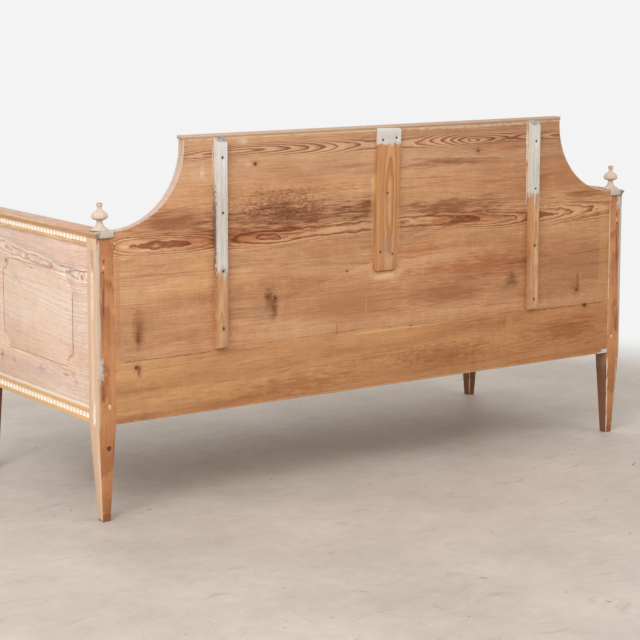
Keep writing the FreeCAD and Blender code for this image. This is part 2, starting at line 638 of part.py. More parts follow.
def back_board(name, foot, head, tongue_length=None, tongue_head=None, fixings=batten_nails):
    """Saw one board of the back from the whole outline, with its tongues where it reaches the posts."""
    slab = timber(f"{name}_slab", (f"-{post_inner}", post_inner), (back_inner_face, back_face), (foot, head))
    board = shared(f"{name}_sawn", slab, back_outline)
    if tongue_length:
        reach = f"({post_inner} + {tongue_length})"
        tongue = timber(f"{name}_tongue", (f"-{reach}", reach),
                        (f"{tongue_back} - Sizes.board_tongue_thickness", tongue_back),
                        (f"{foot} + Sizes.board_shoulder", f"{tongue_head} - Sizes.board_shoulder"))
        board = joined(f"{name}_tongued", board, tongue)
    return keep(cut_from(name, board, fixings))


lower_board = back_board("back_board_lower", "Sizes.skirt_height", seat_bearing,
                         "Sizes.board_tenon_length", seat_bearing, gathered("lower_fixings", [*nails, *pegs]))
middle_board = back_board("back_board_middle", seat_bearing, upper_seam,
                          "Sizes.board_tongue_length", cap_underside)
back_board("back_board_upper", upper_seam, boards_head)

strip_end = f"({crest_end} + Sizes.crest_strip_overhang)"
keep(timber("crest_strip", (f"-{strip_end}", strip_end),
            (f"{moulding_face} - Sizes.crest_strip_overhang", back_face), (boards_head, back_head)))
crest_moulding = keep(timber("crest_moulding", (f"-{crest_end}", crest_end), (moulding_face, back_inner_face),
                             (f"{boards_head} - Sizes.edge_moulding_width", boards_head)))
moulding_round = f"({cove_radius} + Sizes.edge_moulding_width)"
cove_blank = section_body(
    "cove_moulding_blank", "XZ_Plane", f"-{back_inner_face}",
    (
        (crest_end, cove_head, cove_radius, 1),
        (post_inner, cove_foot),
        (post_inner, f"{cove_foot} - Sizes.edge_moulding_width", moulding_round, -1),
        (f"{crest_end} - Sizes.edge_moulding_width", cove_head),
    ),
    "Sizes.edge_moulding_thickness")
cove_moulding = keep(cut_from("cove_moulding_right", cove_blank, crest_moulding))

# Corner posts: squared above, tapered below, with mortises and grooves for what they hold
flute_reach = "(Sizes.post_flute_radius - Sizes.post_flute_depth)"
flute_run = f"({cap_underside} - Sizes.post_flute_margin - Sizes.taper_height)"


def post_flute(name, across, along):
    """Make the cutter of the stopped flute in a post's face."""
    return rod(name, (across, along, "Sizes.taper_height"), "Sizes.post_flute_radius", flute_run)


rear_blank = joined(
    "rear_post_blank",
    timber("rear_post_shaft", (post_inner, half_length), (rear_post_front, back_face),
           ("Sizes.taper_height", cap_underside)),
    leg("rear_post_leg", post_inner, half_length, rear_post_front, back_face,
        "Sizes.foot_inset_face", "Sizes.foot_inset_face"))
rear_flute = post_flute("rear_post_flute", f"{half_length} + {flute_reach}", rear_post_middle)
rear_post = keep(cut_from("rear_post_right", rear_blank, arm_rail, base_rail, end_panel, lower_board,
                          middle_board, finials["rear", RIGHT], tenon_pegs, rear_flute))

# Below the seat a front post is split: its back half is fixed and its front half draws out
fixed_half_front = f"({split_line} + Sizes.running_gap / 2)"
drawn_half_back = f"({split_line} - Sizes.running_gap / 2)"
end_flute = post_flute("front_post_end_flute", f"{half_length} + {flute_reach}", split_line)
face_flute = post_flute("front_post_face_flute", post_middle, f"{front_face} - {flute_reach}")
fixed_blank = joined(
    "front_post_blank",
    timber("front_post_shaft", (post_inner, half_length), (front_face, front_post_back),
           (seat_bearing, cap_underside)),
    timber("front_post_half_shaft", (post_inner, half_length), (fixed_half_front, front_post_back),
           ("Sizes.taper_height", seat_bearing)),
    leg("front_post_half_leg", post_inner, half_length, fixed_half_front, front_post_back,
        "0", "Sizes.foot_inset_face"))
drawn_blank = joined(
    "pull_leg_blank",
    timber("pull_leg_shaft", (post_inner, half_length), (front_face, drawn_half_back),
           ("Sizes.taper_height", apron_head)),
    leg("pull_leg_taper", post_inner, half_length, front_face, drawn_half_back,
        "Sizes.foot_inset_face", "0"))

# Fixed stretcher between the front posts, under the slats
stretcher_foot = "(Sizes.slat_level - Sizes.stretcher_height)"
stretcher_reach = f"({post_inner} + Sizes.tenon_length)"
stretcher_shaft = timber("front_stretcher_shaft", (f"-{post_inner}", post_inner),
                         (stretcher_front, stretcher_back), (stretcher_foot, "Sizes.slat_level"))
stretcher_tenon = timber("front_stretcher_tenon", (f"-{stretcher_reach}", stretcher_reach),
                         (stretcher_front, f"{stretcher_front} + Sizes.tenon_thickness"),
                         (f"{stretcher_foot} + Sizes.tenon_shoulder",
                          "Sizes.slat_level - Sizes.tenon_shoulder"))
stretcher = keep(joined("front_stretcher", stretcher_shaft, stretcher_tenon))
front_post = keep(cut_from("front_post_right", fixed_blank, arm_rail, base_rail, end_panel,
                           finials["front", RIGHT], stretcher, end_flute, face_flute))

# Slat ledger on the back board, and the fixed slats that rest on it and on the stretcher
ledger_front = f"({back_inner_face} - Sizes.slat_ledger_depth)"
keep(timber("slat_ledger", (f"-{post_inner}", post_inner), (ledger_front, back_inner_face),
            ("Sizes.slat_level - Sizes.slat_ledger_height", "Sizes.slat_level")))
slat_back = f"({back_inner_face} - Sizes.slat_end_gap)"


def slat_side(place):
    """Give the left side line of the slat at a place, counted from the left."""
    return f"(-{post_inner} + Sizes.slat_gap + {place} * ({slat_width} + Sizes.slat_gap))"


def slat(name, place, front, level):
    """Lay one slat, counted from the left, from a front line to the back board."""
    low = slat_side(place)
    return timber(name, (low, f"{low} + {slat_width}"), (front, slat_back),
                  (level, f"{level} + Sizes.slat_thickness"))


pairs = int(worth("Sizes.slat_pairs"))
fixed_slats = []
for number in range(pairs + 1):
    fixed_slats.append(slat(f"fixed_slat_{number + 1}", 2 * number, stretcher_front, "Sizes.slat_level"))
keep(gathered("fixed_slats", fixed_slats))

# Pull-out: moulded rail, carved board, leg halves, bearer, slats and the blocks that stop them
apron_moulding = moulded_rail("apron_rail_moulding", front_run, "Sizes.apron_rail_thickness",
                              "Sizes.base_rail_height", "Sizes.base_bevel", "Sizes.base_flute_fillet")
apron_moulding.setExpression("Placement.Base.y", apron_front)
apron_moulding.setExpression("Placement.Base.z", "Sizes.skirt_height")
board_front = f"({front_face} + Sizes.panel_setback)"
board_reach = f"({post_inner} + Sizes.panel_tongue)"
apron_board = section_body(
    "apron_board", "XZ_Plane", f"-({board_front} + Sizes.apron_board_thickness)",
    (
        (f"-{board_reach}", f"{base_rail_head} - Sizes.panel_tongue"),
        (board_reach, f"{base_rail_head} - Sizes.panel_tongue"),
        (board_reach, apron_head),
        (f"-{board_reach}", apron_head),
    ),
    "Sizes.apron_board_thickness")
apron_line_end = f"({post_inner} - Sizes.carved_side_margin)"
apron_height = f"({apron_head} - {base_rail_head})"
carve_line(apron_board, "XZ_Plane", f"-{board_front}", f"(-{apron_line_end})", apron_line_end,
           f"({base_rail_head} + {apron_height} * {APRON_MARGIN_SHARE})",
           f"({apron_head} - {apron_height} * {APRON_MARGIN_SHARE})",
           f"({apron_height} * {APRON_NOTCH_SHARE})")
keep(apron_board)
apron_tenon_middle = f"({apron_front} + Sizes.apron_rail_thickness / 2)"
apron_tenon = timber("apron_rail_tenon", (f"-{stretcher_reach}", stretcher_reach),
                     (f"{apron_tenon_middle} - Sizes.tenon_thickness / 2",
                      f"{apron_tenon_middle} + Sizes.tenon_thickness / 2"),
                     ("Sizes.skirt_height + Sizes.tenon_shoulder",
                      f"{base_rail_head} - Sizes.tenon_shoulder"))
apron_rail_blank = joined("apron_rail_blank", apron_moulding, apron_tenon)
apron_rail = keep(cut_from("apron_rail", apron_rail_blank, apron_board))
pull_leg = keep(cut_from("pull_leg_right", drawn_blank, apron_rail, apron_board, end_flute, face_flute))
bearer_end = f"({post_inner} - Sizes.slat_gap)"
keep(timber("slat_bearer", (f"-{bearer_end}", bearer_end), (apron_back, f"{apron_back} + Sizes.bearer_depth"),
            (f"{drawn_level} - Sizes.bearer_height", drawn_level)))
stops = []
stop_back = f"({ledger_front} - Sizes.stop_gap)"
for number in range(pairs):
    place = 2 * number + 1
    keep(slat(f"pull_slat_{number + 1}", place, apron_back, drawn_level))
    middle = f"({slat_side(place)} + {slat_width} / 2)"
    stops.append(timber(f"slat_stop_{number + 1}",
                        (f"{middle} - Sizes.stop_width / 2", f"{middle} + Sizes.stop_width / 2"),
                        (f"{stop_back} - Sizes.stop_depth", stop_back),
                        (f"{drawn_level} - Sizes.stop_height", drawn_level)))
keep(gathered("slat_stops", stops))

# Seat: ledgers on the ends, fixed strips round the lid, and the lid with its battens and hinges
ledger_inner = f"({post_inner} - Sizes.lid_ledger_width)"
lid_ledger = keep(timber("lid_ledger_right", (ledger_inner, post_inner), (fixed_half_front, back_inner_face),
                         (f"{seat_bearing} - Sizes.lid_ledger_height", seat_bearing)))
end_strip_blank = timber("seat_end_strip_blank", (strip_inner, panel_inner), (front_face, back_inner_face),
                         (seat_bearing, "Sizes.seat_height"))
end_strip = keep(cut_from("seat_end_strip_right", end_strip_blank, front_post, rear_post))
rear_strip_front = f"({back_inner_face} - Sizes.rear_strip_width)"
keep(timber("seat_rear_strip", (f"-{strip_inner}", strip_inner), (rear_strip_front, back_inner_face),
            (seat_bearing, "Sizes.seat_height")))
lid_end = f"({strip_inner} - Sizes.lid_gap)"
lid_back = f"({hinge_line} - Sizes.lid_gap)"
board_width = f"(({lid_back} - {front_face}) / Sizes.lid_boards)"
for number in range(int(worth("Sizes.lid_boards"))):
    keep(timber(f"lid_board_{number + 1}", (f"-{lid_end}", lid_end),
                (f"{front_face} + {number} * {board_width}", f"{front_face} + {number + 1} * {board_width}"),
                (seat_bearing, "Sizes.seat_height")))
lid_batten_middle = f"({lid_end} - Sizes.lid_batten_offset)"
lid_batten = keep(timber("lid_batten_right",
                         (f"{lid_batten_middle} - Sizes.lid_batten_width / 2",
                          f"{lid_batten_middle} + Sizes.lid_batten_width / 2"),
                         (f"{front_face} + Sizes.lid_batten_margin", f"{lid_back} - Sizes.lid_batten_margin"),
                         (f"{seat_bearing} - Sizes.lid_batten_thickness", seat_bearing)))

# Butt hinges: the outer knuckles belong to the strip, the middle one to the lid
knuckle_length = "(Sizes.hinge_length / Sizes.hinge_knuckles)"
plate_head = "(Sizes.seat_height - Sizes.hinge_play)"


def hinge_leaf(name, middle, near, far, knuckles, bore):
    """Make one leaf between two lines, with its knuckles counted from the hinge's left end."""
    start = f"({middle} - Sizes.hinge_length / 2)"
    solids = [timber(f"{name}_plate", (start, f"{start} + Sizes.hinge_length"), (near, far),
                     (f"{plate_head} - Sizes.hinge_plate_height", plate_head))]
    for knuckle in knuckles:
        low = f"({start} + {knuckle} * {knuckle_length} + Sizes.hinge_play / 2)"
        length = f"({knuckle_length} - Sizes.hinge_play)"
        solids.append(timber(f"{name}_web_{knuckle}", (low, f"{low} + {length}"), (near, far),
                             (f"{plate_head} - Sizes.hinge_play", hinge_height)))
        solids.append(rod(f"{name}_knuckle_{knuckle}", (low, hinge_line, hinge_height),
                          "Sizes.hinge_knuckle_radius", length, RIGHTWARDS))
    return cut_from(name, joined(f"{name}_blank", *solids), bore)


knuckles = range(int(worth("Sizes.hinge_knuckles")))
outer_knuckles, inner_knuckles = knuckles[::2], knuckles[1::2]
strip_leaves, lid_leaves, pins = [], [], []
for number, sign in enumerate(("-1", "0", "1"), start=1):
    middle = f"({sign} * ({lid_end} - Sizes.hinge_offset))"
    start = (f"{middle} - Sizes.hinge_length / 2", hinge_line, hinge_height)
    bore = rod(f"hinge_bore_{number}", start, "Sizes.hinge_pin_radius + Sizes.hinge_fit",
               "Sizes.hinge_length", RIGHTWARDS)
    pins.append(rod(f"hinge_pin_{number}", start, "Sizes.hinge_pin_radius", "Sizes.hinge_length", RIGHTWARDS))
    strip_leaves.append(hinge_leaf(f"strip_leaf_{number}", middle,
                                   f"({rear_strip_front} - Sizes.hinge_plate_thickness)", rear_strip_front,
                                   outer_knuckles, bore))
    lid_leaves.append(hinge_leaf(f"lid_leaf_{number}", middle,
                                 lid_back, f"({lid_back} + Sizes.hinge_plate_thickness)",
                                 inner_knuckles, bore))
keep(gathered("hinge_strip_leaves", strip_leaves))
keep(gathered("hinge_lid_leaves", lid_leaves))
keep(gathered("hinge_pins", pins))

# Left hand twins of the pieces made for the right
for original in (end_panel, arm_rail, base_rail, arm_cap, cove_moulding, rear_post, front_post, pull_leg,
                 lid_ledger, end_strip, lid_batten):
    keep(mirrored(original.Name.replace(RIGHT, LEFT), original))

doc.recompute()

for item in doc.Objects:
    faults = [state for state in item.State if state in ("Invalid", "Error")]
    if faults:
        raise RuntimeError(f"{item.Label} failed: {faults}")
    if item.TypeId == "PartDesign::Pocket" and item.Shape.Volume >= item.BaseFeature.Shape.Volume:
        raise RuntimeError(f"{item.Label} takes nothing away")
for piece in pieces:
    if piece.Shape.isNull() or not piece.Shape.isValid() or not piece.Shape.Solids:
        raise RuntimeError(f"{piece.Label} is not a sound solid")

os.makedirs("parts", exist_ok=True)
for piece in pieces:
    piece.Shape.exportStep(os.path.join("parts", f"{piece.Label}.step"))
whole = Part.makeCompound([piece.Shape for piece in pieces])
print(f"{len(pieces)} pieces, {len(whole.Solids)} solids, {whole.BoundBox}")
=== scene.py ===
"""Looks of a Swedish pull-out bench bed in Gustavian style, of stripped and limed pine, seen from behind.

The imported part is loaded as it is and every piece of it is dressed: each board, post, rail and batten gets
eased edges and the figure of the tree it was sawn from, the finials are turned and carved, and the traces of
old paint, knots, cracks and saw marks lie where the photograph shows them.

Lengths that end in _mm are millimetres, colours are sRGB hex, and right means +X.
"""

import json
import logging
import math
from collections.abc import Callable, Mapping, Sequence
from dataclasses import dataclass, field, replace
from enum import Enum
from functools import partial

import bpy
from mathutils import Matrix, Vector

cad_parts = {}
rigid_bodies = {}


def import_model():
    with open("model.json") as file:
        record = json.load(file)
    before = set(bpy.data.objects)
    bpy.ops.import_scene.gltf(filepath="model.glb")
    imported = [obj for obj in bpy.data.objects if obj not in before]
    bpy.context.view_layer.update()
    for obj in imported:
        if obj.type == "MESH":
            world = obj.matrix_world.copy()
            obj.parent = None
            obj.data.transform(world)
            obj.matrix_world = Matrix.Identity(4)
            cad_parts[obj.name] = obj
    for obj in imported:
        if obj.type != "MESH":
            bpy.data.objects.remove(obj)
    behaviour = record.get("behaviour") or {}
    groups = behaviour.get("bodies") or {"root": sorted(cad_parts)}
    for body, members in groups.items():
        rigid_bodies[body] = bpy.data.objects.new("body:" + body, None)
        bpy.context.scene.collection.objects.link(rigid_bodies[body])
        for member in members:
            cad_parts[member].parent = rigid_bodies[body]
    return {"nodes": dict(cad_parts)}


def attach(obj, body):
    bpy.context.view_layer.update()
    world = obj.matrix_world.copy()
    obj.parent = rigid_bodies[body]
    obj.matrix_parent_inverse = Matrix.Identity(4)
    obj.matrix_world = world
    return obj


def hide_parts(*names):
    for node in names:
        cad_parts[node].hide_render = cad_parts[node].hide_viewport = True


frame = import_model()
log = logging.getLogger("bench")

MM = 0.001
# Turns between two faces: still one curve, an edge that gets eased, and still one plane
SOFT_TURN = math.radians(30)
EDGE_TURN = math.radians(40)
FLAT_TURN = math.radians(0.4)
# Points nearer than this become one: in a turned piece, and in a mesh that comes from the solids
WELD_TURNED_MM = 0.01
WELD_SOLID_MM = 0.02
# A knot is longer along the grain than across it: the squeeze of its length for the rings' bulge and the mark
BULGE_SQUEEZE = 0.55
MARK_SQUEEZE = 0.8
# Cloud noise is one half on average: how far that moves a mark, and how much noise frays a patch's edge
MARK_SHIFT_MM = 3.0
FRAY = 4.0
# How deep a crack goes, in heights of the late wood above the early wood
CRACK_DEPTH = 3.0
# Where the back boards' rear face lies
BACK_FACE_MM = 357.5

Triple = tuple[float, float, float]
Socket = bpy.types.NodeSocket
Tree = bpy.types.NodeTree


def linear(colour: str) -> tuple[float, float, float, float]:
    """Turn an sRGB hex colour into the linear values that a shader works with.

    Args:
        colour: six hex digits with a leading hash.

    Returns:
        Red, green, blue and an alpha of one.
    """
    parts = [int(colour[start:start + 2], 16) / 255 for start in (1, 3, 5)]
    turned = [part / 12.92 if part <= 0.04045 else ((part + 0.055) / 1.055) ** 2.4 for part in parts]
    return (*turned, 1.0)


def add_node(tree: Tree, kind: str, settings: Mapping[str, object] | None = None,
             inputs: Mapping[int | str, object] | None = None) -> bpy.types.Node:
    """Add a node to a tree, set it up and link it.

    Args:
        tree: the material's or the world's node tree.
        kind: the node's type name.
        settings: properties of the node, by name.
        inputs: a value, another node's output, or a node whose first output is meant, for each input by its
            number or name.

    Returns:
        The new node.
    """
    node = tree.nodes.new(kind)
    for name, value in (settings or {}).items():
        setattr(node, name, value)
    for key, value in (inputs or {}).items():
        if isinstance(value, bpy.types.Node):
            value = value.outputs[0]
        if isinstance(value, Socket):
            tree.links.new(value, node.inputs[key])
        else:
            node.inputs[key].default_value = value
    return node


def start_material(name: str) -> tuple[bpy.types.Material, Tree]:
    """Make a material whose tree is still empty.

    Args:
        name: the material's name.

    Returns:
        The material and its node tree.
    """
    made = bpy.data.materials.new(name)
    made.use_nodes = True
    made.node_tree.nodes.clear()
    return made, made.node_tree


def set_stops(ramp: bpy.types.ColorRamp, stops: Sequence[tuple[float, Triple]]) -> None:
    """Give a colour ramp its stops.

    Args:
        ramp: the colour ramp, with no more stops than it gets.
        stops: position and linear colour of each stop, in rising order.
    """
    while len(ramp.elements) < len(stops):
        ramp.elements.new(0.5)
    for element, (position, colour) in zip(ramp.elements, stops):
        element.position = position
        element.color = (*colour, 1.0)


# Finishes

# Settings that many nodes share: colours are mixed, and a mask starts and ends softly
RGBA = {"data_type": "RGBA"}
SMOOTH = {"interpolation_type": "SMOOTHSTEP"}


class Cut(Enum):
    """How a piece lies in the tree: its axes along the grain, across its face and through its thickness."""

    BACK_BOARD = "XZY"
    END_BOARD = "YZX"
    SEAT_BOARD = "XYZ"
    SLAT = "YXZ"
    POST = "ZYX"
    BATTEN = "ZXY"


class Outline(Enum):
    """Shape of a patch: a box with straight sides or a round spot."""

    BOX = "box"
    ROUND = "round"


class Lay(Enum):
    """How a patch lies on the wood: as a coat that hides it or as a stain that darkens it."""

    COVER = "MIX"
    STAIN = "MULTIPLY"


@dataclass(frozen=True)
class Patch:
    """A place where the wood is stained, painted, worn or bare, in the part's own axes.

    A half size of zero leaves that axis open, and a facing keeps the patch to the faces that look that way.
    """

    centre_mm: Triple
    half_mm: Triple
    colour: str
    strength: float = 0.8
    soft: float = 0.3
    ragged: float = 0.3
    speck_mm: Triple = (12.0, 12.0, 12.0)
    outline: Outline = Outline.BOX
    lay: Lay = Lay.COVER
    facing: Triple | None = None
    height: float = 0.0


@dataclass(frozen=True)
class Knot:
    """A knot in a board, at its place along and across the grain."""

    along_mm: float
    across_mm: float
    radius_mm: float
    colour: str = "#5A3018"


@dataclass(frozen=True)
class Crack:
    """A fine split that runs nearly along the grain, from one end to the other."""

    start_mm: tuple[float, float]
    end_mm: tuple[float, float]
    width_mm: float = 0.8
    colour: str = "#4A2A18"


@dataclass(frozen=True)
class Pine:
    """Scots pine, flat sawn and hand planed, as its yearly rings show it.

    Soft pale early wood ends in a thin hard line of late wood each year. Where the saw passes near the
    middle of the tree those lines open into tall arches, and towards the board's edges they close up and run
    straight. Age turns it from straw to honey and brown, and washing with lye and lime leaves it pink and
    chalky.
    """

    name: str
    cut: Cut
    pale: str = "#D3A578"
    warm: str = "#BD875C"
    late: str = "#A0643E"
    heart: str = "#85492B"
    # far and far_span_mm: painted shade, a colour multiplied in along the piece that darkens it towards the
    # far end, where the light falls off
    far: str | None = None
    far_span_mm: tuple[float, float] = (700.0, -900.0)
    ring_mm: float = 4.2
    pith: tuple[Triple, ...] = ((-900.0, 45.0, 0.0), (900.0, 45.0, 0.0))
    wander_mm: float = 1.6
    contrast: float = 0.16
    heart_contrast: float = 0.92
    heart_mm: float = 26.0
    fibre: float = 0.07
    mottle: float = 0.7
    bloom: float = 0.06
    flecks: float = 0.5
    saw_marks: float = 0.03
    lime: float = 0.0
    lime_colour: str = "#EAD8CC"
    roughness: float = 0.66
    relief_mm: float = 0.22
    board_mm: tuple[float, float] | None = None
    both_ends: bool = False
    knots: tuple[Knot, ...] = ()
    cracks: tuple[Crack, ...] = ()
    patches: tuple[Patch, ...] = ()

    def material(self) -> bpy.types.Material:
        """Build the finish, or fetch it if it is there already.

        Returns:
            The material.
        """
        if self.name in bpy.data.materials:
            return bpy.data.materials[self.name]
        made, tree = start_material(self.name)
        place, local = self._axes(tree)
        rings, heart = self._rings(tree, local)
        colour = self._colours(tree, local, rings, heart)
        colour, height = self._surface(tree, local, rings, colour)
        colour, height = self._marks(tree, local, colour, height)
        colour, height = self._patches(tree, place, colour, height)
        relief = add_node(tree, "ShaderNodeBump", None,
                          {"Strength": 1.0, "Distance": self.relief_mm * MM, "Height": height})
        shader = add_node(tree, "ShaderNodeBsdfPrincipled", None,
                          {"Base Color": colour, "Roughness": self.roughness, "IOR": 1.5,
                           "Specular IOR Level": 0.3, "Normal": relief})
        add_node(tree, "ShaderNodeOutputMaterial", None, {"Surface": shader})
        return made

    def _axes(self, tree: Tree) -> tuple[Socket, Socket]:
        """Find the place on the piece, in the part's axes and in the tree's.

        Args:
            tree: the node tree.

        Returns:
            The place in X, Y and Z, and the same place along, across and through the piece, in metres.
        """
        place = add_node(tree, "ShaderNodeTexCoord").outputs["Object"]
        split = add_node(tree, "ShaderNodeSeparateXYZ", None, {0: place})
        axes = {letter: split.outputs[letter] for letter in "XYZ"}
        if self.both_ends:
            axes["X"] = add_node(tree, "ShaderNodeMath", {"operation": "ABSOLUTE"}, {0: axes["X"]}).outputs[0]
            place = add_node(tree, "ShaderNodeCombineXYZ", None,
                             {0: axes["X"], 1: axes["Y"], 2: axes["Z"]}).outputs[0]
        along, across, through = (axes[letter] for letter in self.cut.value)
        if not self.board_mm:
            return place, add_node(tree, "ShaderNodeCombineXYZ", None,
                                   {0: along, 1: across, 2: through}).outputs[0]
        # Boards of one width side by side, each from its own place in the tree
        start, pitch = self.board_mm
        number = add_node(tree, "ShaderNodeMath", {"operation": "SUBTRACT"}, {0: across, 1: start * MM})
        number = add_node(tree, "ShaderNodeMath", {"operation": "DIVIDE"}, {0: number, 1: pitch * MM})
        number = add_node(tree, "ShaderNodeMath", {"operation": "FLOOR"}, {0: number})
        chance = add_node(tree, "ShaderNodeTexWhiteNoise", {"noise_dimensions": "1D"}, {"W": number})
        middle = add_node(tree, "ShaderNodeMath", {"operation": "MULTIPLY_ADD"},
                          {0: number, 1: pitch * MM, 2: (start + pitch / 2) * MM})
        across = add_node(tree, "ShaderNodeMath", {"operation": "SUBTRACT"}, {0: across, 1: middle})
        local = add_node(tree, "ShaderNodeCombineXYZ", None, {0: along, 1: across, 2: through})
        spread = add_node(tree, "ShaderNodeVectorMath", {"operation": "MULTIPLY"},
                          {0: chance.outputs["Color"], 1: (9.0, 0.5 * pitch * MM, 0.03)})
        return place, add_node(tree, "ShaderNodeVectorMath", {"operation": "ADD"},
                               {0: local, 1: spread}).outputs[0]

    def _course(self, tree: Tree, local: Socket) -> tuple[Socket, Socket]:
        """Follow the middle of the tree behind the face, at the depths that the pith's points give.

        Args:
            tree: the node tree.
            local: place along, across and through the piece.

        Returns:
            How far aside of the middle a place lies, and how deep the middle is there, in metres.
        """
        split = add_node(tree, "ShaderNodeSeparateXYZ", None, {0: local})
        first, last = self.pith[0][0], self.pith[-1][0]
        run = add_node(tree, "ShaderNodeMapRange", None,
                       {"Value": split.outputs[0], "From Min": first * MM, "From Max": last * MM})
        course = add_node(tree, "ShaderNodeValToRGB", None, {0: run})
        course.color_ramp.interpolation = "EASE" if len(self.pith) < 4 else "B_SPLINE"
        deepest = max(depth for _, depth, _ in self.pith)
        lowest = min(across for _, _, across in self.pith)
        spread = max(across for _, _, across in self.pith) - lowest or 1.0
        set_stops(course.color_ramp, [
            ((along - first) / (last - first), (depth / deepest, (across - lowest) / spread, 0.0))
            for along, depth, across in self.pith])
        course = add_node(tree, "ShaderNodeSeparateXYZ", None, {0: course.outputs[0]})
        deep = add_node(tree, "ShaderNodeMath", {"operation": "MULTIPLY"},
                        {0: course.outputs[0], 1: deepest * MM})
        middle = add_node(tree, "ShaderNodeMath", {"operation": "MULTIPLY_ADD"},
                          {0: course.outputs[1], 1: spread * MM, 2: lowest * MM})
        aside = add_node(tree, "ShaderNodeMath", {"operation": "SUBTRACT"}, {0: split.outputs[1], 1: middle})
        return aside.outputs[0], deep.outputs[0]

    def _rings(self, tree: Tree, local: Socket) -> tuple[Socket, Socket]:
        """Cut the piece out of its tree.

        Where the middle of the tree comes near the face the rings close into eyes, and where it goes deeper
        they open into nested arches.

        Args:
            tree: the node tree.
            local: place along, across and through the piece.

        Returns:
            How far the wood is late wood, and how near it is to the middle of the tree, from 0 to 1.
        """
        aside, deep = self._course(tree, local)
        ring_place = add_node(tree, "ShaderNodeCombineXYZ", None, {0: aside, 1: deep})
        radius = add_node(tree, "ShaderNodeVectorMath", {"operation": "LENGTH"},
                          {0: ring_place}).outputs["Value"]
        flat = add_node(tree, "ShaderNodeVectorMath", {"operation": "MULTIPLY"},
                        {0: local, 1: (BULGE_SQUEEZE, 1.0, 0.0)}).outputs[0]
        for knot in self.knots:
            away = add_node(tree, "ShaderNodeVectorMath", {"operation": "DISTANCE"},
                            {0: flat, 1: (BULGE_SQUEEZE * knot.along_mm * MM, knot.across_mm * MM, 0.0)})
            push = add_node(tree, "ShaderNodeMapRange", {"interpolation_type": "SMOOTHERSTEP"},
                            {"Value": away.outputs["Value"], "From Min": 0.0,
                             "From Max": 4.5 * knot.radius_mm * MM,
                             "To Min": 2.4 * knot.radius_mm * MM, "To Max": 0.0})
            radius = add_node(tree, "ShaderNodeMath", {"operation": "ADD"}, {0: radius, 1: push}).outputs[0]
        wander = self._field(tree, local, (7.0, 24.0, 24.0), 5.0, 0.62)
        wave = self._field(tree, local, (2.2, 9.0, 9.0), 2.0, 0.4)
        jag = self._field(tree, local, (34.0, 42.0, 42.0), 2.0, 0.5)
        # Each cloud bends the rings by its own share of the wander
        for cloud, reach in ((wander, 2.0), (wave, 4.0), (jag, 1.3)):
            radius = add_node(tree, "ShaderNodeMath", {"operation": "MULTIPLY_ADD"},
                              {0: cloud, 1: reach * self.wander_mm * MM, 2: radius}).outputs[0]
        uneven = add_node(tree, "ShaderNodeTexNoise", {"noise_dimensions": "1D"},
                          {"W": radius, "Scale": 130.0, "Detail": 2.0})
        phase = add_node(tree, "ShaderNodeMath", {"operation": "DIVIDE"}, {0: radius, 1: self.ring_mm * MM})
        phase = add_node(tree, "ShaderNodeMath", {"operation": "MULTIPLY_ADD"}, {0: uneven, 1: 1.4, 2: phase})
        year = add_node(tree, "ShaderNodeMath", {"operation": "FRACT"}, {0: phase})
        # One year: pale early wood from the start, slowly darker, and late wood at its end
        ramp = add_node(tree, "ShaderNodeValToRGB", None, {0: year})
        set_stops(ramp.color_ramp, [(position, (level, level, level)) for position, level in (
            (0.0, 0.55), (0.06, 0.0), (0.38, 0.06), (0.62, 0.55), (0.80, 1.0), (1.0, 0.95))])
        off = add_node(tree, "ShaderNodeMath", {"operation": "ABSOLUTE"}, {0: aside})
        off = add_node(tree, "ShaderNodeMath", {"operation": "MULTIPLY_ADD"},
                       {0: wander, 1: 0.5 * self.heart_mm * MM, 2: off})
        heart = add_node(tree, "ShaderNodeMapRange", SMOOTH,
                         {"Value": off, "From Min": 0.75 * self.heart_mm * MM,
                          "From Max": 1.35 * self.heart_mm * MM, "To Min": 1.0, "To Max": 0.0})
        return ramp.outputs[0], heart.outputs[0]

    def _field(self, tree: Tree, place: Socket, waves: Triple, detail: float, roughness: float) -> Socket:
        """Make a field of clouds that are drawn out along the grain.

        Args:
            tree: the node tree.
            place: the place that it reads.
            waves: clouds in each metre, on each axis.
            detail: how many finer clouds lie in each.
            roughness: how strong the finer ones are.

        Returns:
            The field, about 0.5 on average.
        """
        drawn = add_node(tree, "ShaderNodeVectorMath", {"operation": "MULTIPLY"}, {0: place, 1: waves})
        return add_node(tree, "ShaderNodeTexNoise", None,
                        {"Vector": drawn, "Scale": 1.0, "Detail": detail,
                         "Roughness": roughness}).outputs[0]

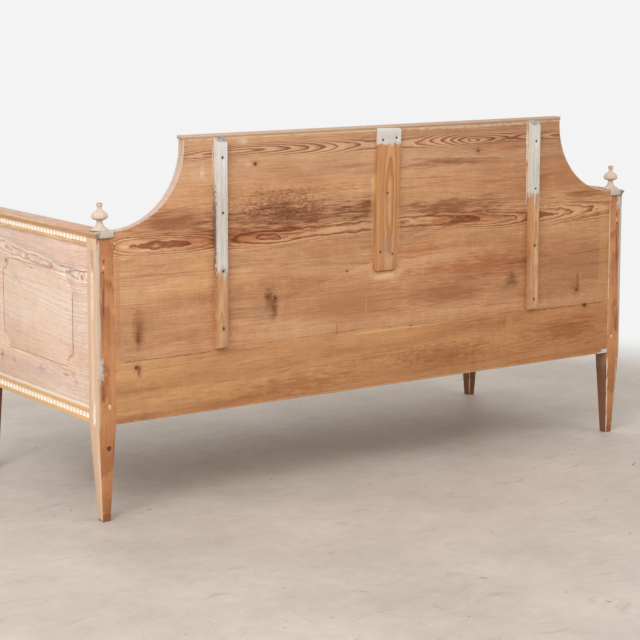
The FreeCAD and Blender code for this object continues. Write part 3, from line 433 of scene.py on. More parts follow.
    def _colours(self, tree: Tree, local: Socket, rings: Socket, heart: Socket) -> Socket:
        """Colour early and late wood, heartwood, the slow changes of tone and a painted shade towards the far
        end.

        Args:
            tree: the node tree.
            local: place along, across and through the piece.
            rings: share of late wood.
            heart: nearness to the middle of the tree.

        Returns:
            The colour of the bare wood.
        """
        cloud = self._field(tree, local, (1.7, 9.0, 9.0), 5.0, 0.62)
        cloud = add_node(tree, "ShaderNodeMapRange", None,
                         {"Value": cloud, "From Min": 0.32, "From Max": 0.68,
                          "To Min": 0.5 - 0.5 * self.mottle, "To Max": 0.5 + 0.5 * self.mottle})
        early = add_node(tree, "ShaderNodeMix", RGBA,
                         {0: cloud, 6: linear(self.pale), 7: linear(self.warm)}).outputs[2]
        early = add_node(tree, "ShaderNodeMix", RGBA, {0: heart, 6: early, 7: linear(self.pale)}).outputs[2]
        ink = add_node(tree, "ShaderNodeMix", RGBA,
                       {0: heart, 6: linear(self.late), 7: linear(self.heart)}).outputs[2]
        streak = self._field(tree, local, (3.5, 85.0, 85.0), 3.0, 0.6)
        depth = add_node(tree, "ShaderNodeMapRange", None,
                         {"Value": heart, "To Min": self.contrast, "To Max": self.heart_contrast})
        depth = add_node(tree, "ShaderNodeMath", {"operation": "MULTIPLY"}, {0: rings, 1: depth})
        colour = add_node(tree, "ShaderNodeMix", RGBA, {0: depth, 6: early, 7: ink}).outputs[2]
        line = add_node(tree, "ShaderNodeMapRange", None,
                        {"Value": streak, "From Min": 0.56, "From Max": 0.74, "To Max": 4.0 * self.fibre})
        colour = add_node(tree, "ShaderNodeMix", RGBA, {0: line, 6: colour, 7: linear(self.late)}).outputs[2]
        # Painted shade: the colour is multiplied by the far colour along the piece, darkest at the far end,
        # where the light falls off
        if self.far:
            run = add_node(tree, "ShaderNodeSeparateXYZ", None, {0: local})
            start, end = self.far_span_mm
            share = add_node(tree, "ShaderNodeMapRange", None,
                             {"Value": run, "From Min": start * MM, "From Max": end * MM})
            colour = add_node(tree, "ShaderNodeMix", {"data_type": "RGBA", "blend_type": "MULTIPLY"},
                              {0: share, 6: colour, 7: linear(self.far)}).outputs[2]
        return colour

    def _surface(self, tree: Tree, local: Socket, rings: Socket, colour: Socket) -> tuple[Socket, Socket]:
        """Add fibres, uneven ageing, lime and flecks.

        Args:
            tree: the node tree.
            local: place along, across and through the piece.
            rings: share of late wood.
            colour: colour of the bare wood.

        Returns:
            The colour and the height of the surface.
        """
        fibre = self._field(tree, local, (11.0, 230.0, 230.0), 4.0, 0.72)
        bloom = self._field(tree, local, (26.0, 17.0, 17.0), 5.0, 0.7)
        shade = add_node(tree, "ShaderNodeMapRange", None,
                         {"Value": fibre, "From Min": 0.25, "From Max": 0.75,
                          "To Min": 1.0 - self.fibre, "To Max": 1.0 + self.fibre})
        patchy = add_node(tree, "ShaderNodeMapRange", None,
                          {"Value": bloom, "From Min": 0.3, "From Max": 0.7,
                           "To Min": 1.0 - self.bloom, "To Max": 1.0 + self.bloom})
        shade = add_node(tree, "ShaderNodeMath", {"operation": "MULTIPLY"}, {0: shade, 1: patchy})
        colour = add_node(tree, "ShaderNodeVectorMath", {"operation": "SCALE"},
                          {0: colour, "Scale": shade}).outputs[0]
        if self.lime:
            chalk = add_node(tree, "ShaderNodeMapRange", None,
                             {"Value": bloom, "From Min": 0.3, "From Max": 0.65,
                              "To Min": 0.45 * self.lime, "To Max": self.lime})
            hold = add_node(tree, "ShaderNodeMapRange", None, {"Value": rings, "To Min": 1.0, "To Max": 0.35})
            chalk = add_node(tree, "ShaderNodeMath", {"operation": "MULTIPLY"}, {0: chalk, 1: hold})
            colour = add_node(tree, "ShaderNodeMix", RGBA,
                              {0: chalk, 6: colour, 7: linear(self.lime_colour)}).outputs[2]
        # Short dark and pale flecks, where dust and wax caught in the open grain
        fleck = self._field(tree, local, (34.0, 250.0, 250.0), 3.0, 0.6)
        for low, high, tone in ((0.60, 0.72, self.late), (0.42, 0.32, self.pale)):
            mask = add_node(tree, "ShaderNodeMapRange", None,
                            {"Value": fleck, "From Min": low, "From Max": high, "To Max": self.flecks})
            colour = add_node(tree, "ShaderNodeMix", RGBA, {0: mask, 6: colour, 7: linear(tone)}).outputs[2]
        height = add_node(tree, "ShaderNodeMath", {"operation": "MULTIPLY_ADD"}, {0: fibre, 1: 0.7, 2: rings})
        return colour, height.outputs[0]

    def _marks(self, tree: Tree, local: Socket, colour: Socket, height: Socket) -> tuple[Socket, Socket]:
        """Add saw marks across the grain, knots and cracks.

        Args:
            tree: the node tree.
            local: place along, across and through the piece.
            colour: colour so far.
            height: height so far.

        Returns:
            The colour and the height with the marks.
        """
        if self.saw_marks:
            # A frame saw leaves one faint line for each stroke, every 3 to 4 mm
            stroke = self._field(tree, local, (290.0, 13.0, 13.0), 2.0, 0.5)
            place = self._field(tree, local, (5.0, 6.0, 6.0), 2.0, 0.5)
            worn = add_node(tree, "ShaderNodeMapRange", None,
                            {"Value": place, "From Min": 0.42, "From Max": 0.62, "To Max": self.saw_marks})
            stroke = add_node(tree, "ShaderNodeMapRange", None,
                              {"Value": stroke, "From Min": 0.3, "From Max": 0.7, "To Min": -1.0})
            shade = add_node(tree, "ShaderNodeMath", {"operation": "MULTIPLY_ADD"},
                             {0: stroke, 1: worn, 2: 1.0})
            colour = add_node(tree, "ShaderNodeVectorMath", {"operation": "SCALE"},
                              {0: colour, "Scale": shade}).outputs[0]
        flat = add_node(tree, "ShaderNodeVectorMath", {"operation": "MULTIPLY"},
                        {0: local, 1: (MARK_SQUEEZE, 1.0, 0.0)})
        rough = add_node(tree, "ShaderNodeTexNoise", None, {"Vector": local, "Scale": 160.0, "Detail": 2.0})
        rough = add_node(tree, "ShaderNodeVectorMath", {"operation": "MULTIPLY_ADD"},
                         {0: rough.outputs["Color"], 1: (2 * MARK_SHIFT_MM * MM, 2 * MARK_SHIFT_MM * MM, 0.0),
                          2: flat})
        for knot in self.knots:
            spot = (MARK_SQUEEZE * knot.along_mm * MM + MARK_SHIFT_MM * MM,
                    knot.across_mm * MM + MARK_SHIFT_MM * MM, 0.0)
            away = add_node(tree, "ShaderNodeVectorMath", {"operation": "DISTANCE"}, {0: rough, 1: spot})
            # A faint ring of late wood first, then the knot itself
            for inner, outer, share, tone in ((1.0, 3.2, 0.35, self.late), (0.55, 1.25, 0.92, knot.colour)):
                mask = add_node(tree, "ShaderNodeMapRange", SMOOTH,
                                {"Value": away.outputs["Value"], "From Min": inner * knot.radius_mm * MM,
                                 "From Max": outer * knot.radius_mm * MM, "To Min": share, "To Max": 0.0})
                colour = add_node(tree, "ShaderNodeMix", RGBA,
                                  {0: mask, 6: colour, 7: linear(tone)}).outputs[2]
        for crack in self.cracks:
            mask = self._crack(tree, rough.outputs[0], crack)
            colour = add_node(tree, "ShaderNodeMix", RGBA,
                              {0: mask, 6: colour, 7: linear(crack.colour)}).outputs[2]
            height = add_node(tree, "ShaderNodeMath", {"operation": "MULTIPLY_ADD"},
                              {0: mask, 1: -CRACK_DEPTH, 2: height}).outputs[0]
        return colour, height

    def _crack(self, tree: Tree, flat: Socket, crack: Crack) -> Socket:
        """Find how far a place lies in a crack.

        Args:
            tree: the node tree.
            flat: place along and across the face, slightly roughened.
            crack: the crack.

        Returns:
            The mask of the crack.
        """
        (start, low), (end, high) = crack.start_mm, crack.end_mm
        slope = (high - low) / (end - start)
        split = add_node(tree, "ShaderNodeSeparateXYZ", None, {0: flat})
        line = add_node(tree, "ShaderNodeMath", {"operation": "MULTIPLY_ADD"},
                        {0: split.outputs[0], 1: slope / MARK_SQUEEZE,
                         2: (low - slope * start + MARK_SHIFT_MM) * MM})
        off = add_node(tree, "ShaderNodeMath", {"operation": "SUBTRACT"}, {0: split.outputs[1], 1: line})
        off = add_node(tree, "ShaderNodeMath", {"operation": "ABSOLUTE"}, {0: off})
        thin = add_node(tree, "ShaderNodeMapRange", SMOOTH,
                        {"Value": off, "From Min": 0.3 * crack.width_mm * MM,
                         "From Max": crack.width_mm * MM, "To Min": 1.0, "To Max": 0.0})
        middle, half = (start + end) / 2, abs(end - start) / 2
        run = add_node(tree, "ShaderNodeMath", {"operation": "SUBTRACT"},
                       {0: split.outputs[0], 1: MARK_SQUEEZE * middle * MM + MARK_SHIFT_MM * MM})
        run = add_node(tree, "ShaderNodeMath", {"operation": "ABSOLUTE"}, {0: run})
        within = add_node(tree, "ShaderNodeMapRange", SMOOTH,
                          {"Value": run, "From Min": 0.64 * half * MM,
                           "From Max": MARK_SQUEEZE * half * MM, "To Min": 1.0, "To Max": 0.0})
        return add_node(tree, "ShaderNodeMath", {"operation": "MULTIPLY"},
                        {0: thin, 1: within}).outputs[0]

    def _away(self, tree: Tree, place: Socket, outline: Outline) -> Socket:
        """Measure how far a place is from the middle of a patch.

        Args:
            tree: the node tree.
            place: the place, in half sizes of the patch.
            outline: the patch's shape.

        Returns:
            The distance, which is 1 on the outline.
        """
        if outline is Outline.ROUND:
            away = add_node(tree, "ShaderNodeVectorMath", {"operation": "LENGTH"}, {0: place})
            return away.outputs["Value"]
        sizes = add_node(tree, "ShaderNodeVectorMath", {"operation": "ABSOLUTE"}, {0: place})
        sizes = add_node(tree, "ShaderNodeSeparateXYZ", None, {0: sizes.outputs[0]}).outputs
        away = add_node(tree, "ShaderNodeMath", {"operation": "MAXIMUM"}, {0: sizes[0], 1: sizes[1]})
        return add_node(tree, "ShaderNodeMath", {"operation": "MAXIMUM"}, {0: away, 1: sizes[2]}).outputs[0]

    def _patches(self, tree: Tree, place: Socket, colour: Socket, height: Socket) -> tuple[Socket, Socket]:
        """Lay the patches of paint, dirt and wear over the wood.

        Args:
            tree: the node tree.
            place: place in the part's axes.
            colour: colour so far.
            height: height so far.

        Returns:
            The colour and the height with the patches.
        """
        flakes: dict[Triple, Socket] = {}
        spot = add_node(tree, "ShaderNodeTexCoord")
        normal = spot.outputs["Normal"]
        if self.both_ends:
            end = add_node(tree, "ShaderNodeSeparateXYZ", None, {0: spot.outputs["Object"]})
            end = add_node(tree, "ShaderNodeMath", {"operation": "SIGN"}, {0: end})
            end = add_node(tree, "ShaderNodeCombineXYZ", None, {0: end, 1: 1.0, 2: 1.0})
            normal = add_node(tree, "ShaderNodeVectorMath", {"operation": "MULTIPLY"},
                              {0: normal, 1: end}).outputs[0]
        for patch in self.patches:
            half = tuple(1.0 / (size * MM) if size else 0.0 for size in patch.half_mm)
            offset = tuple(-centre * MM * share for centre, share in zip(patch.centre_mm, half))
            scaled = add_node(tree, "ShaderNodeVectorMath", {"operation": "MULTIPLY_ADD"},
                              {0: place, 1: half, 2: offset})
            away = self._away(tree, scaled.outputs[0], patch.outline)
            if patch.speck_mm not in flakes:
                waves = tuple(1.0 / (size * MM) for size in patch.speck_mm)
                flakes[patch.speck_mm] = self._field(tree, place, waves, 5.0, 0.68)
            away = add_node(tree, "ShaderNodeMath", {"operation": "MULTIPLY_ADD"},
                            {0: flakes[patch.speck_mm], 1: FRAY * patch.ragged, 2: away})
            edge = 1.0 + FRAY / 2 * patch.ragged
            mask = add_node(tree, "ShaderNodeMapRange", SMOOTH,
                            {"Value": away, "From Min": edge - patch.soft, "From Max": edge,
                             "To Min": patch.strength, "To Max": 0.0})
            if patch.facing:
                turned = add_node(tree, "ShaderNodeVectorMath", {"operation": "DOT_PRODUCT"},
                                  {0: normal, 1: patch.facing})
                turned = add_node(tree, "ShaderNodeMapRange", SMOOTH,
                                  {"Value": turned.outputs["Value"], "From Min": 0.5, "From Max": 0.85})
                mask = add_node(tree, "ShaderNodeMath", {"operation": "MULTIPLY"}, {0: mask, 1: turned})
            colour = add_node(tree, "ShaderNodeMix", {"data_type": "RGBA", "blend_type": patch.lay.value},
                              {0: mask, 6: colour, 7: linear(patch.colour)}).outputs[2]
            if patch.height:
                height = add_node(tree, "ShaderNodeMath", {"operation": "MULTIPLY_ADD"},
                                  {0: mask, 1: patch.height, 2: height}).outputs[0]
        return colour, height


@dataclass(frozen=True)
class WroughtIron:
    """Forged and rubbed iron: dark brown oxide with a dull sheen where hands and the hammer polished it."""

    name: str = "wrought_iron_forged"
    dark: str = "#3A302A"
    rubbed: str = "#6E5E52"

    def material(self) -> bpy.types.Material:
        """Build the finish, or fetch it if it is there already.

        Returns:
            The material.
        """
        if self.name in bpy.data.materials:
            return bpy.data.materials[self.name]
        made, tree = start_material(self.name)
        place = add_node(tree, "ShaderNodeTexCoord").outputs["Object"]
        scale = add_node(tree, "ShaderNodeTexNoise", None, {"Vector": place, "Scale": 420.0, "Detail": 4.0})
        share = add_node(tree, "ShaderNodeMapRange", None, {"Value": scale, "From Min": 0.4, "From Max": 0.7})
        colour = add_node(tree, "ShaderNodeMix", RGBA,
                          {0: share, 6: linear(self.dark), 7: linear(self.rubbed)})
        pits = add_node(tree, "ShaderNodeBump", None,
                        {"Strength": 0.6, "Distance": 0.2 * MM, "Height": scale})
        shader = add_node(tree, "ShaderNodeBsdfPrincipled", None,
                          {"Base Color": colour.outputs[2], "Roughness": 0.6, "Metallic": 0.4,
                           "Normal": pits})
        add_node(tree, "ShaderNodeOutputMaterial", None, {"Surface": shader})
        return made


@dataclass(frozen=True)
class PolishedConcrete:
    """Trowelled concrete: grey-beige clouds, grit and scuffs, fading into the white studio ground."""

    name: str = "concrete_trowelled"
    pale: str = "#D1C7BC"
    grey: str = "#C0B6AB"
    crack: str = "#857A6E"
    scuff: str = "#E4DBD0"
    ground: str = "#F3F3F3"
    centre_m: tuple[float, float] = (0.285, 0.41)
    radius_m: tuple[float, float] = (1.95, 2.75)

    def material(self) -> bpy.types.Material:
        """Build the finish.

        Returns:
            The material.
        """
        made, tree = start_material(self.name)
        place = add_node(tree, "ShaderNodeTexCoord").outputs["Object"]
        cloud = add_node(tree, "ShaderNodeTexNoise", None,
                         {"Vector": place, "Scale": 2.4, "Detail": 7.0, "Roughness": 0.62})
        share = add_node(tree, "ShaderNodeMapRange", None,
                         {"Value": cloud, "From Min": 0.35, "From Max": 0.65})
        colour = add_node(tree, "ShaderNodeMix", RGBA, {0: share, 6: linear(self.pale), 7: linear(self.grey)})
        colour = self._marks(tree, place, colour.outputs[2])
        fine = add_node(tree, "ShaderNodeTexNoise", None,
                        {"Vector": place, "Scale": 22.0, "Detail": 6.0, "Roughness": 0.7})
        fine = add_node(tree, "ShaderNodeMapRange", None, {"Value": fine, "To Min": 0.86, "To Max": 1.14})
        colour = add_node(tree, "ShaderNodeVectorMath", {"operation": "SCALE"}, {0: colour, "Scale": fine})
        concrete = add_node(tree, "ShaderNodeBsdfPrincipled", None,
                            {"Base Color": colour, "Roughness": 0.55, "Specular IOR Level": 0.25})
        away = add_node(tree, "ShaderNodeVectorMath", {"operation": "DISTANCE"},
                        {0: place, 1: (*self.centre_m, 0.0)})
        fade = add_node(tree, "ShaderNodeMapRange", SMOOTH,
                        {"Value": away.outputs["Value"], "From Min": self.radius_m[0],
                         "From Max": self.radius_m[1]})
        light = add_node(tree, "ShaderNodeLightPath")
        seen = add_node(tree, "ShaderNodeMath", {"operation": "MULTIPLY"},
                        {0: fade, 1: light.outputs["Is Camera Ray"]})
        glow = add_node(tree, "ShaderNodeEmission", None, {"Color": linear(self.ground), "Strength": 1.0})
        both = add_node(tree, "ShaderNodeMixShader", None, {0: seen, 1: concrete, 2: glow})
        add_node(tree, "ShaderNodeOutputMaterial", None, {"Surface": both})
        return made

    def _marks(self, tree: Tree, place: Socket, colour: Socket) -> Socket:
        """Lay grit, scratches and scuffs over the concrete.

        Args:
            tree: the node tree.
            place: the place on the floor.
            colour: the colour so far.

        Returns:
            The colour with the marks.
        """
        bend = add_node(tree, "ShaderNodeTexNoise", None, {"Vector": place, "Scale": 3.0, "Detail": 4.0})
        bent = add_node(tree, "ShaderNodeVectorMath", {"operation": "MULTIPLY_ADD"},
                        {0: bend.outputs["Color"], 1: (0.3, 0.3, 0.0), 2: place})
        # Specks of grit: cells in each metre, and a speck's radius in its cell. Few of the cells have one
        for size, low in ((30.0, 0.075), (75.0, 0.09)):
            speck = add_node(tree, "ShaderNodeTexVoronoi", None, {"Vector": bent, "Scale": size})
            thin = add_node(tree, "ShaderNodeSeparateColor", None, {0: speck.outputs["Color"]})
            near = add_node(tree, "ShaderNodeMapRange", None,
                            {"Value": speck.outputs["Distance"], "From Min": low * 1.6, "From Max": low})
            few = add_node(tree, "ShaderNodeMath", {"operation": "GREATER_THAN"},
                           {0: thin.outputs[0], 1: 0.93})
            share = add_node(tree, "ShaderNodeMath", {"operation": "MULTIPLY"}, {0: near, 1: few})
            colour = add_node(tree, "ShaderNodeMix", RGBA,
                              {0: share, 6: colour, 7: linear(self.crack)}).outputs[2]
        # Scuffs and scratches drawn out along and across the room, from the level where each starts
        for waves, tone, low in (((9.0, 120.0, 1.0), self.scuff, 0.60), ((110.0, 8.0, 1.0), self.crack, 0.63),
                                 ((6.0, 40.0, 1.0), self.crack, 0.60)):
            drawn = add_node(tree, "ShaderNodeVectorMath", {"operation": "MULTIPLY"}, {0: bent, 1: waves})
            rub = add_node(tree, "ShaderNodeTexNoise", None, {"Vector": drawn, "Scale": 1.0, "Detail": 3.0})
            rub = add_node(tree, "ShaderNodeMapRange", None,
                           {"Value": rub, "From Min": low, "From Max": low + 0.16, "To Max": 0.3})
            colour = add_node(tree, "ShaderNodeMix", RGBA, {0: rub, 6: colour, 7: linear(tone)}).outputs[2]
        return colour


# Making the pieces and handing them over


class Body(Enum):
    """The three bodies that the bench moves as."""

    FRAME = "frame"
    PULL_OUT = "pull_out"
    LID = "seat_lid"


def leave_all() -> None:
    """Deselect every object."""
    bpy.ops.object.select_all(action="DESELECT")


def take(piece: bpy.types.Object) -> None:
    """Select one object alone and make it the active one.

    Args:
        piece: the object.
    """
    leave_all()
    piece.select_set(True)
    bpy.context.view_layer.objects.active = piece


def pick_points(piece: bpy.types.Object, chooser: Callable[[Vector], bool]) -> None:
    """Select points of a piece in edit mode by their place.

    Args:
        piece: the active piece, in edit mode.
        chooser: tells from a point's place in metres whether it is taken.
    """
    bpy.ops.mesh.select_mode(type="VERT")
    bpy.ops.mesh.select_all(action="DESELECT")
    bpy.ops.object.mode_set(mode="OBJECT")
    for vertex in piece.data.vertices:
        vertex.select = chooser(vertex.co)
    bpy.ops.object.mode_set(mode="EDIT")


def finish_mesh(piece: bpy.types.Object) -> None:
    """Place the piece in its mesh, make its curves smooth and turn its faces outwards.

    Args:
        piece: the piece, in object mode.
    """
    take(piece)
    bpy.ops.object.transform_apply(location=True, rotation=True, scale=True)
    bpy.ops.object.mode_set(mode="EDIT")
    bpy.ops.mesh.select_all(action="SELECT")
    bpy.ops.mesh.remove_doubles(threshold=WELD_TURNED_MM * MM)
    bpy.ops.mesh.normals_make_consistent(inside=False)
    bpy.ops.object.mode_set(mode="OBJECT")
    bpy.ops.object.shade_smooth_by_angle(angle=SOFT_TURN)


def eased(node: str, ease_mm: float, worn: bool = False,
          shape: Callable[[bpy.types.Object], None] | None = None) -> bpy.types.Object:
    """Copy a node's mesh and take the sharpness off its edges, as a plane and a hundred years of hands do.

    Args:
        node: the node's name.
        ease_mm: width of the eased edge.
        worn: whether the eased edges take the piece's second finish.
        shape: a cut to make before the edges are eased.

    Returns:
        The new piece.
    """
    piece = bpy.data.objects.new(f"{node}_eased", frame["nodes"][node].data.copy())
    bpy.context.scene.collection.objects.link(piece)
    take(piece)
    bpy.ops.mesh.customdata_custom_splitnormals_clear()
    bpy.ops.object.mode_set(mode="EDIT")
    bpy.ops.mesh.select_all(action="SELECT")
    bpy.ops.mesh.remove_doubles(threshold=WELD_SOLID_MM * MM)
    bpy.ops.mesh.dissolve_limited(angle_limit=FLAT_TURN)
    bpy.ops.object.mode_set(mode="OBJECT")
    if shape:
        shape(piece)
    ease = piece.modifiers.new("ease", "BEVEL")
    ease.width = ease_mm * MM
    ease.segments = 2
    ease.limit_method = "ANGLE"
    ease.angle_limit = EDGE_TURN
    ease.use_clamp_overlap = True
    ease.material = 1 if worn else -1
    bpy.ops.object.modifier_apply(modifier=ease.name)
    bpy.ops.object.shade_smooth_by_angle(angle=SOFT_TURN)
    return piece


def dress(piece: bpy.types.Object, *finishes: bpy.types.Material) -> None:
    """Give a piece its finishes, in the order of its material slots.

    Args:
        piece: the piece.
        finishes: the material of the faces, and after it that of the eased edges where it differs.
    """
    while len(piece.data.materials) < len(finishes):
        piece.data.materials.append(None)
    for number in range(len(piece.data.materials)):
        piece.data.materials[number] = finishes[min(number, len(finishes) - 1)]


def hand_over(piece: bpy.types.Object, body: Body, slot: str, *nodes: str) -> None:
    """Let a piece ride on its body in place of the nodes that it stands for.

    Args:
        piece: the finished piece.
        body: the body that carries it.
        slot: the record's material slot; not used.
        nodes: the nodes that it replaces.
    """
    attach(piece, body.value)
    if nodes:
        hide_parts(*nodes)


# The bench


@dataclass
class Woodwork:
    """Boards and rails whose CAD form is eased and dressed."""

    def stand_in(self, node: str, body: Body, slot: str, finish: Pine, ease_mm: float,
                 worn: Pine | None = None, shape: Callable[[bpy.types.Object], None] | None = None) -> None:
        """Put an eased and dressed copy in the place of a node.

        Args:
            node: the node's name.
            body: the body that it is on.
            slot: the record's material slot.
            finish: wood of the faces.
            ease_mm: width of the eased edges.
            worn: wood of the eased edges, where it differs.
            shape: a cut to make before the edges are eased.
        """
        piece = eased(node, ease_mm, worn is not None, shape)
        finishes = [finish.material()] + ([worn.material()] if worn else [])
        dress(piece, *finishes)
        hand_over(piece, body, slot, node)


def smear(x: float, z: float, half_x: float, half_z: float, colour: str, strength: float, soft: float = 0.8,
          ragged: float = 0.35, speck: Triple = (18.0, 18.0, 10.0),
          outline: Outline = Outline.ROUND, lay: Lay = Lay.COVER) -> Patch:
    """Describe a patch on the face of a back board.

    Args:
        x: place along the board in millimetres.
        z: height in millimetres.
        half_x: half its length.
        half_z: half its height.
        colour: its colour.
        strength: how much of the wood it hides, up to 1.
        soft: width of its edge, as a share of its half size.
        ragged: how uneven its edge is.
        speck: size of the flecks at its edge.
        outline: its shape.
        lay: whether it hides the wood or darkens it.

    Returns:
        The patch, on the board's rear face alone.
    """
    return Patch((x, BACK_FACE_MM, z), (half_x, 9.0, half_z), colour, strength, soft, ragged, speck, outline,
                 lay)


stain = partial(smear, lay=Lay.STAIN)

FRONT = (0.0, -1.0, 0.0)
REAR = (0.0, 1.0, 0.0)
OUTWARD = (1.0, 0.0, 0.0)
INWARD = (-1.0, 0.0, 0.0)
# Sizes of the flecks at a patch's edge: drawn out along a board, or run down it
STREAKS = (70, 20, 7)
DRIPS = (5, 20, 40)
LONG_DRIPS = (6, 6, 45)
EDGE_PAINT = "#D9CBB4"
# Lime wash on the side towards the room
SHOW_SIDE = Patch((0, 337.5, 600), (0, 0, 0), "#EAD3BE", 0.72, 0.4, 0.3, (40, 20, 9), facing=FRONT)

# Old paint on the edge of the hollow at each end, which both upper boards share
COVE_RIM = tuple(patch for side in (870, -870) for patch in (
    smear(side, 982, 215.6, 215.6, "#DCC6B2", 0.8, 0.012, 0.008, (9, 20, 9)),
    Patch((side, 0, 982), (213.9, 0, 213.9), "#D8C2B8", 0.8, 0.006, 0.004, (30, 6, 30), Outline.ROUND)))


def nail_stain(x: float, z: float, half_x: float, half_z: float, colour: str, strength: float) -> Patch:
    """Describe the dark ring of rust round a nail in a batten.

    Args:
        x: place along the bench in millimetres.
        z: height in millimetres.
        half_x: half its length.
        half_z: half its height.
        colour: its colour.
        strength: how much of the wood it hides, up to 1.

    Returns:
        The stain.
    """
    return Patch((x, 376, z), (half_x, 0, half_z), colour, strength, 0.9, 0.4, (5, 5, 9), Outline.ROUND)


# Slow grown pine, planed by hand and left bare towards the wall: oxidised orange brown, its late wood darker
UPPER_BOARD = Pine(
    # far: painted shade towards the far end, where the light falls off
    "pine_aged_upper_board", Cut.BACK_BOARD, pale="#D6AB85", warm="#BE8B64", far="#F0E6DF", bloom=0.07,
    heart_mm=21, ring_mm=4, fibre=0.15, mottle=1.15,
    pith=((760, 16, 951), (700, 12, 950), (661, 9, 949), (572, 5, 954), (476, 3, 957), (373, 7.8, 958),
          (321, 11.8, 956), (263, 15.8, 955), (217, 19.8, 954), (156, 23.8, 954), (77, 27.8, 955),
          (-10, 29.5, 953), (-109, 27.8, 951), (-163, 23.8, 954), (-205, 19.8, 954), (-239, 15.8, 953),
          (-270, 11.8, 951), (-300, 7, 950), (-323, 2.5, 949), (-350, 7, 949), (-400, 11.8, 950),
          (-431, 14, 950), (-470, 16.5, 951), (-500, 15, 951), (-560, 11, 951), (-600, 8, 950),
          (-657, 5, 949), (-760, 4, 948)),
    knots=(Knot(435, 920, 5.5), Knot(-342, 917, 5)),
    patches=(
        SHOW_SIDE,
        # The top arris is rubbed pale, with a grey line of old paint above it
        smear(0, 992.5, 900, 1.6, "#DCC4A4", 0.85, 0.6, 0.5, (30, 20, 6), Outline.BOX),
        smear(-330, 989, 250, 2.6, EDGE_PAINT, 0.75, 0.8, 0.9, (16, 20, 7), Outline.BOX),
        *COVE_RIM,
        smear(455, 920, 22, 9, "#D9B48E", 0.5, 0.9, 0.3, STREAKS),
        smear(-345, 915, 40, 16, "#A9734F", 0.35, 0.9, 0.6, (14, 20, 8)),
        stain(-250, 892, 230, 16, "#C8AC9C", 0.9, 0.9, 0.8, STREAKS),
        stain(-440, 930, 260, 30, "#E6D6CC", 0.8, 0.9, 0.8, STREAKS),
        smear(470, 985, 20, 14, "#D6CFC2", 0.45, 0.9, 0.9, (9, 20, 9)),
        smear(600, 905, 12, 22, "#E0CDB4", 0.5, 0.9, 0.9, (9, 20, 9)),
        smear(568, 935, 4, 60, "#D8CBB8", 0.7, 0.7, 0.9, DRIPS, Outline.BOX),
        smear(-529.5, 930, 4.2, 68, "#EBE2D3", 0.9, 0.5, 0.6, DRIPS, Outline.BOX),
        smear(-569.5, 930, 5, 68, "#EBE2D3", 0.9, 0.5, 0.6, DRIPS, Outline.BOX),
        smear(-575, 968, 9, 20, "#DED3C2", 0.5, 0.9, 0.8, DRIPS)),
)

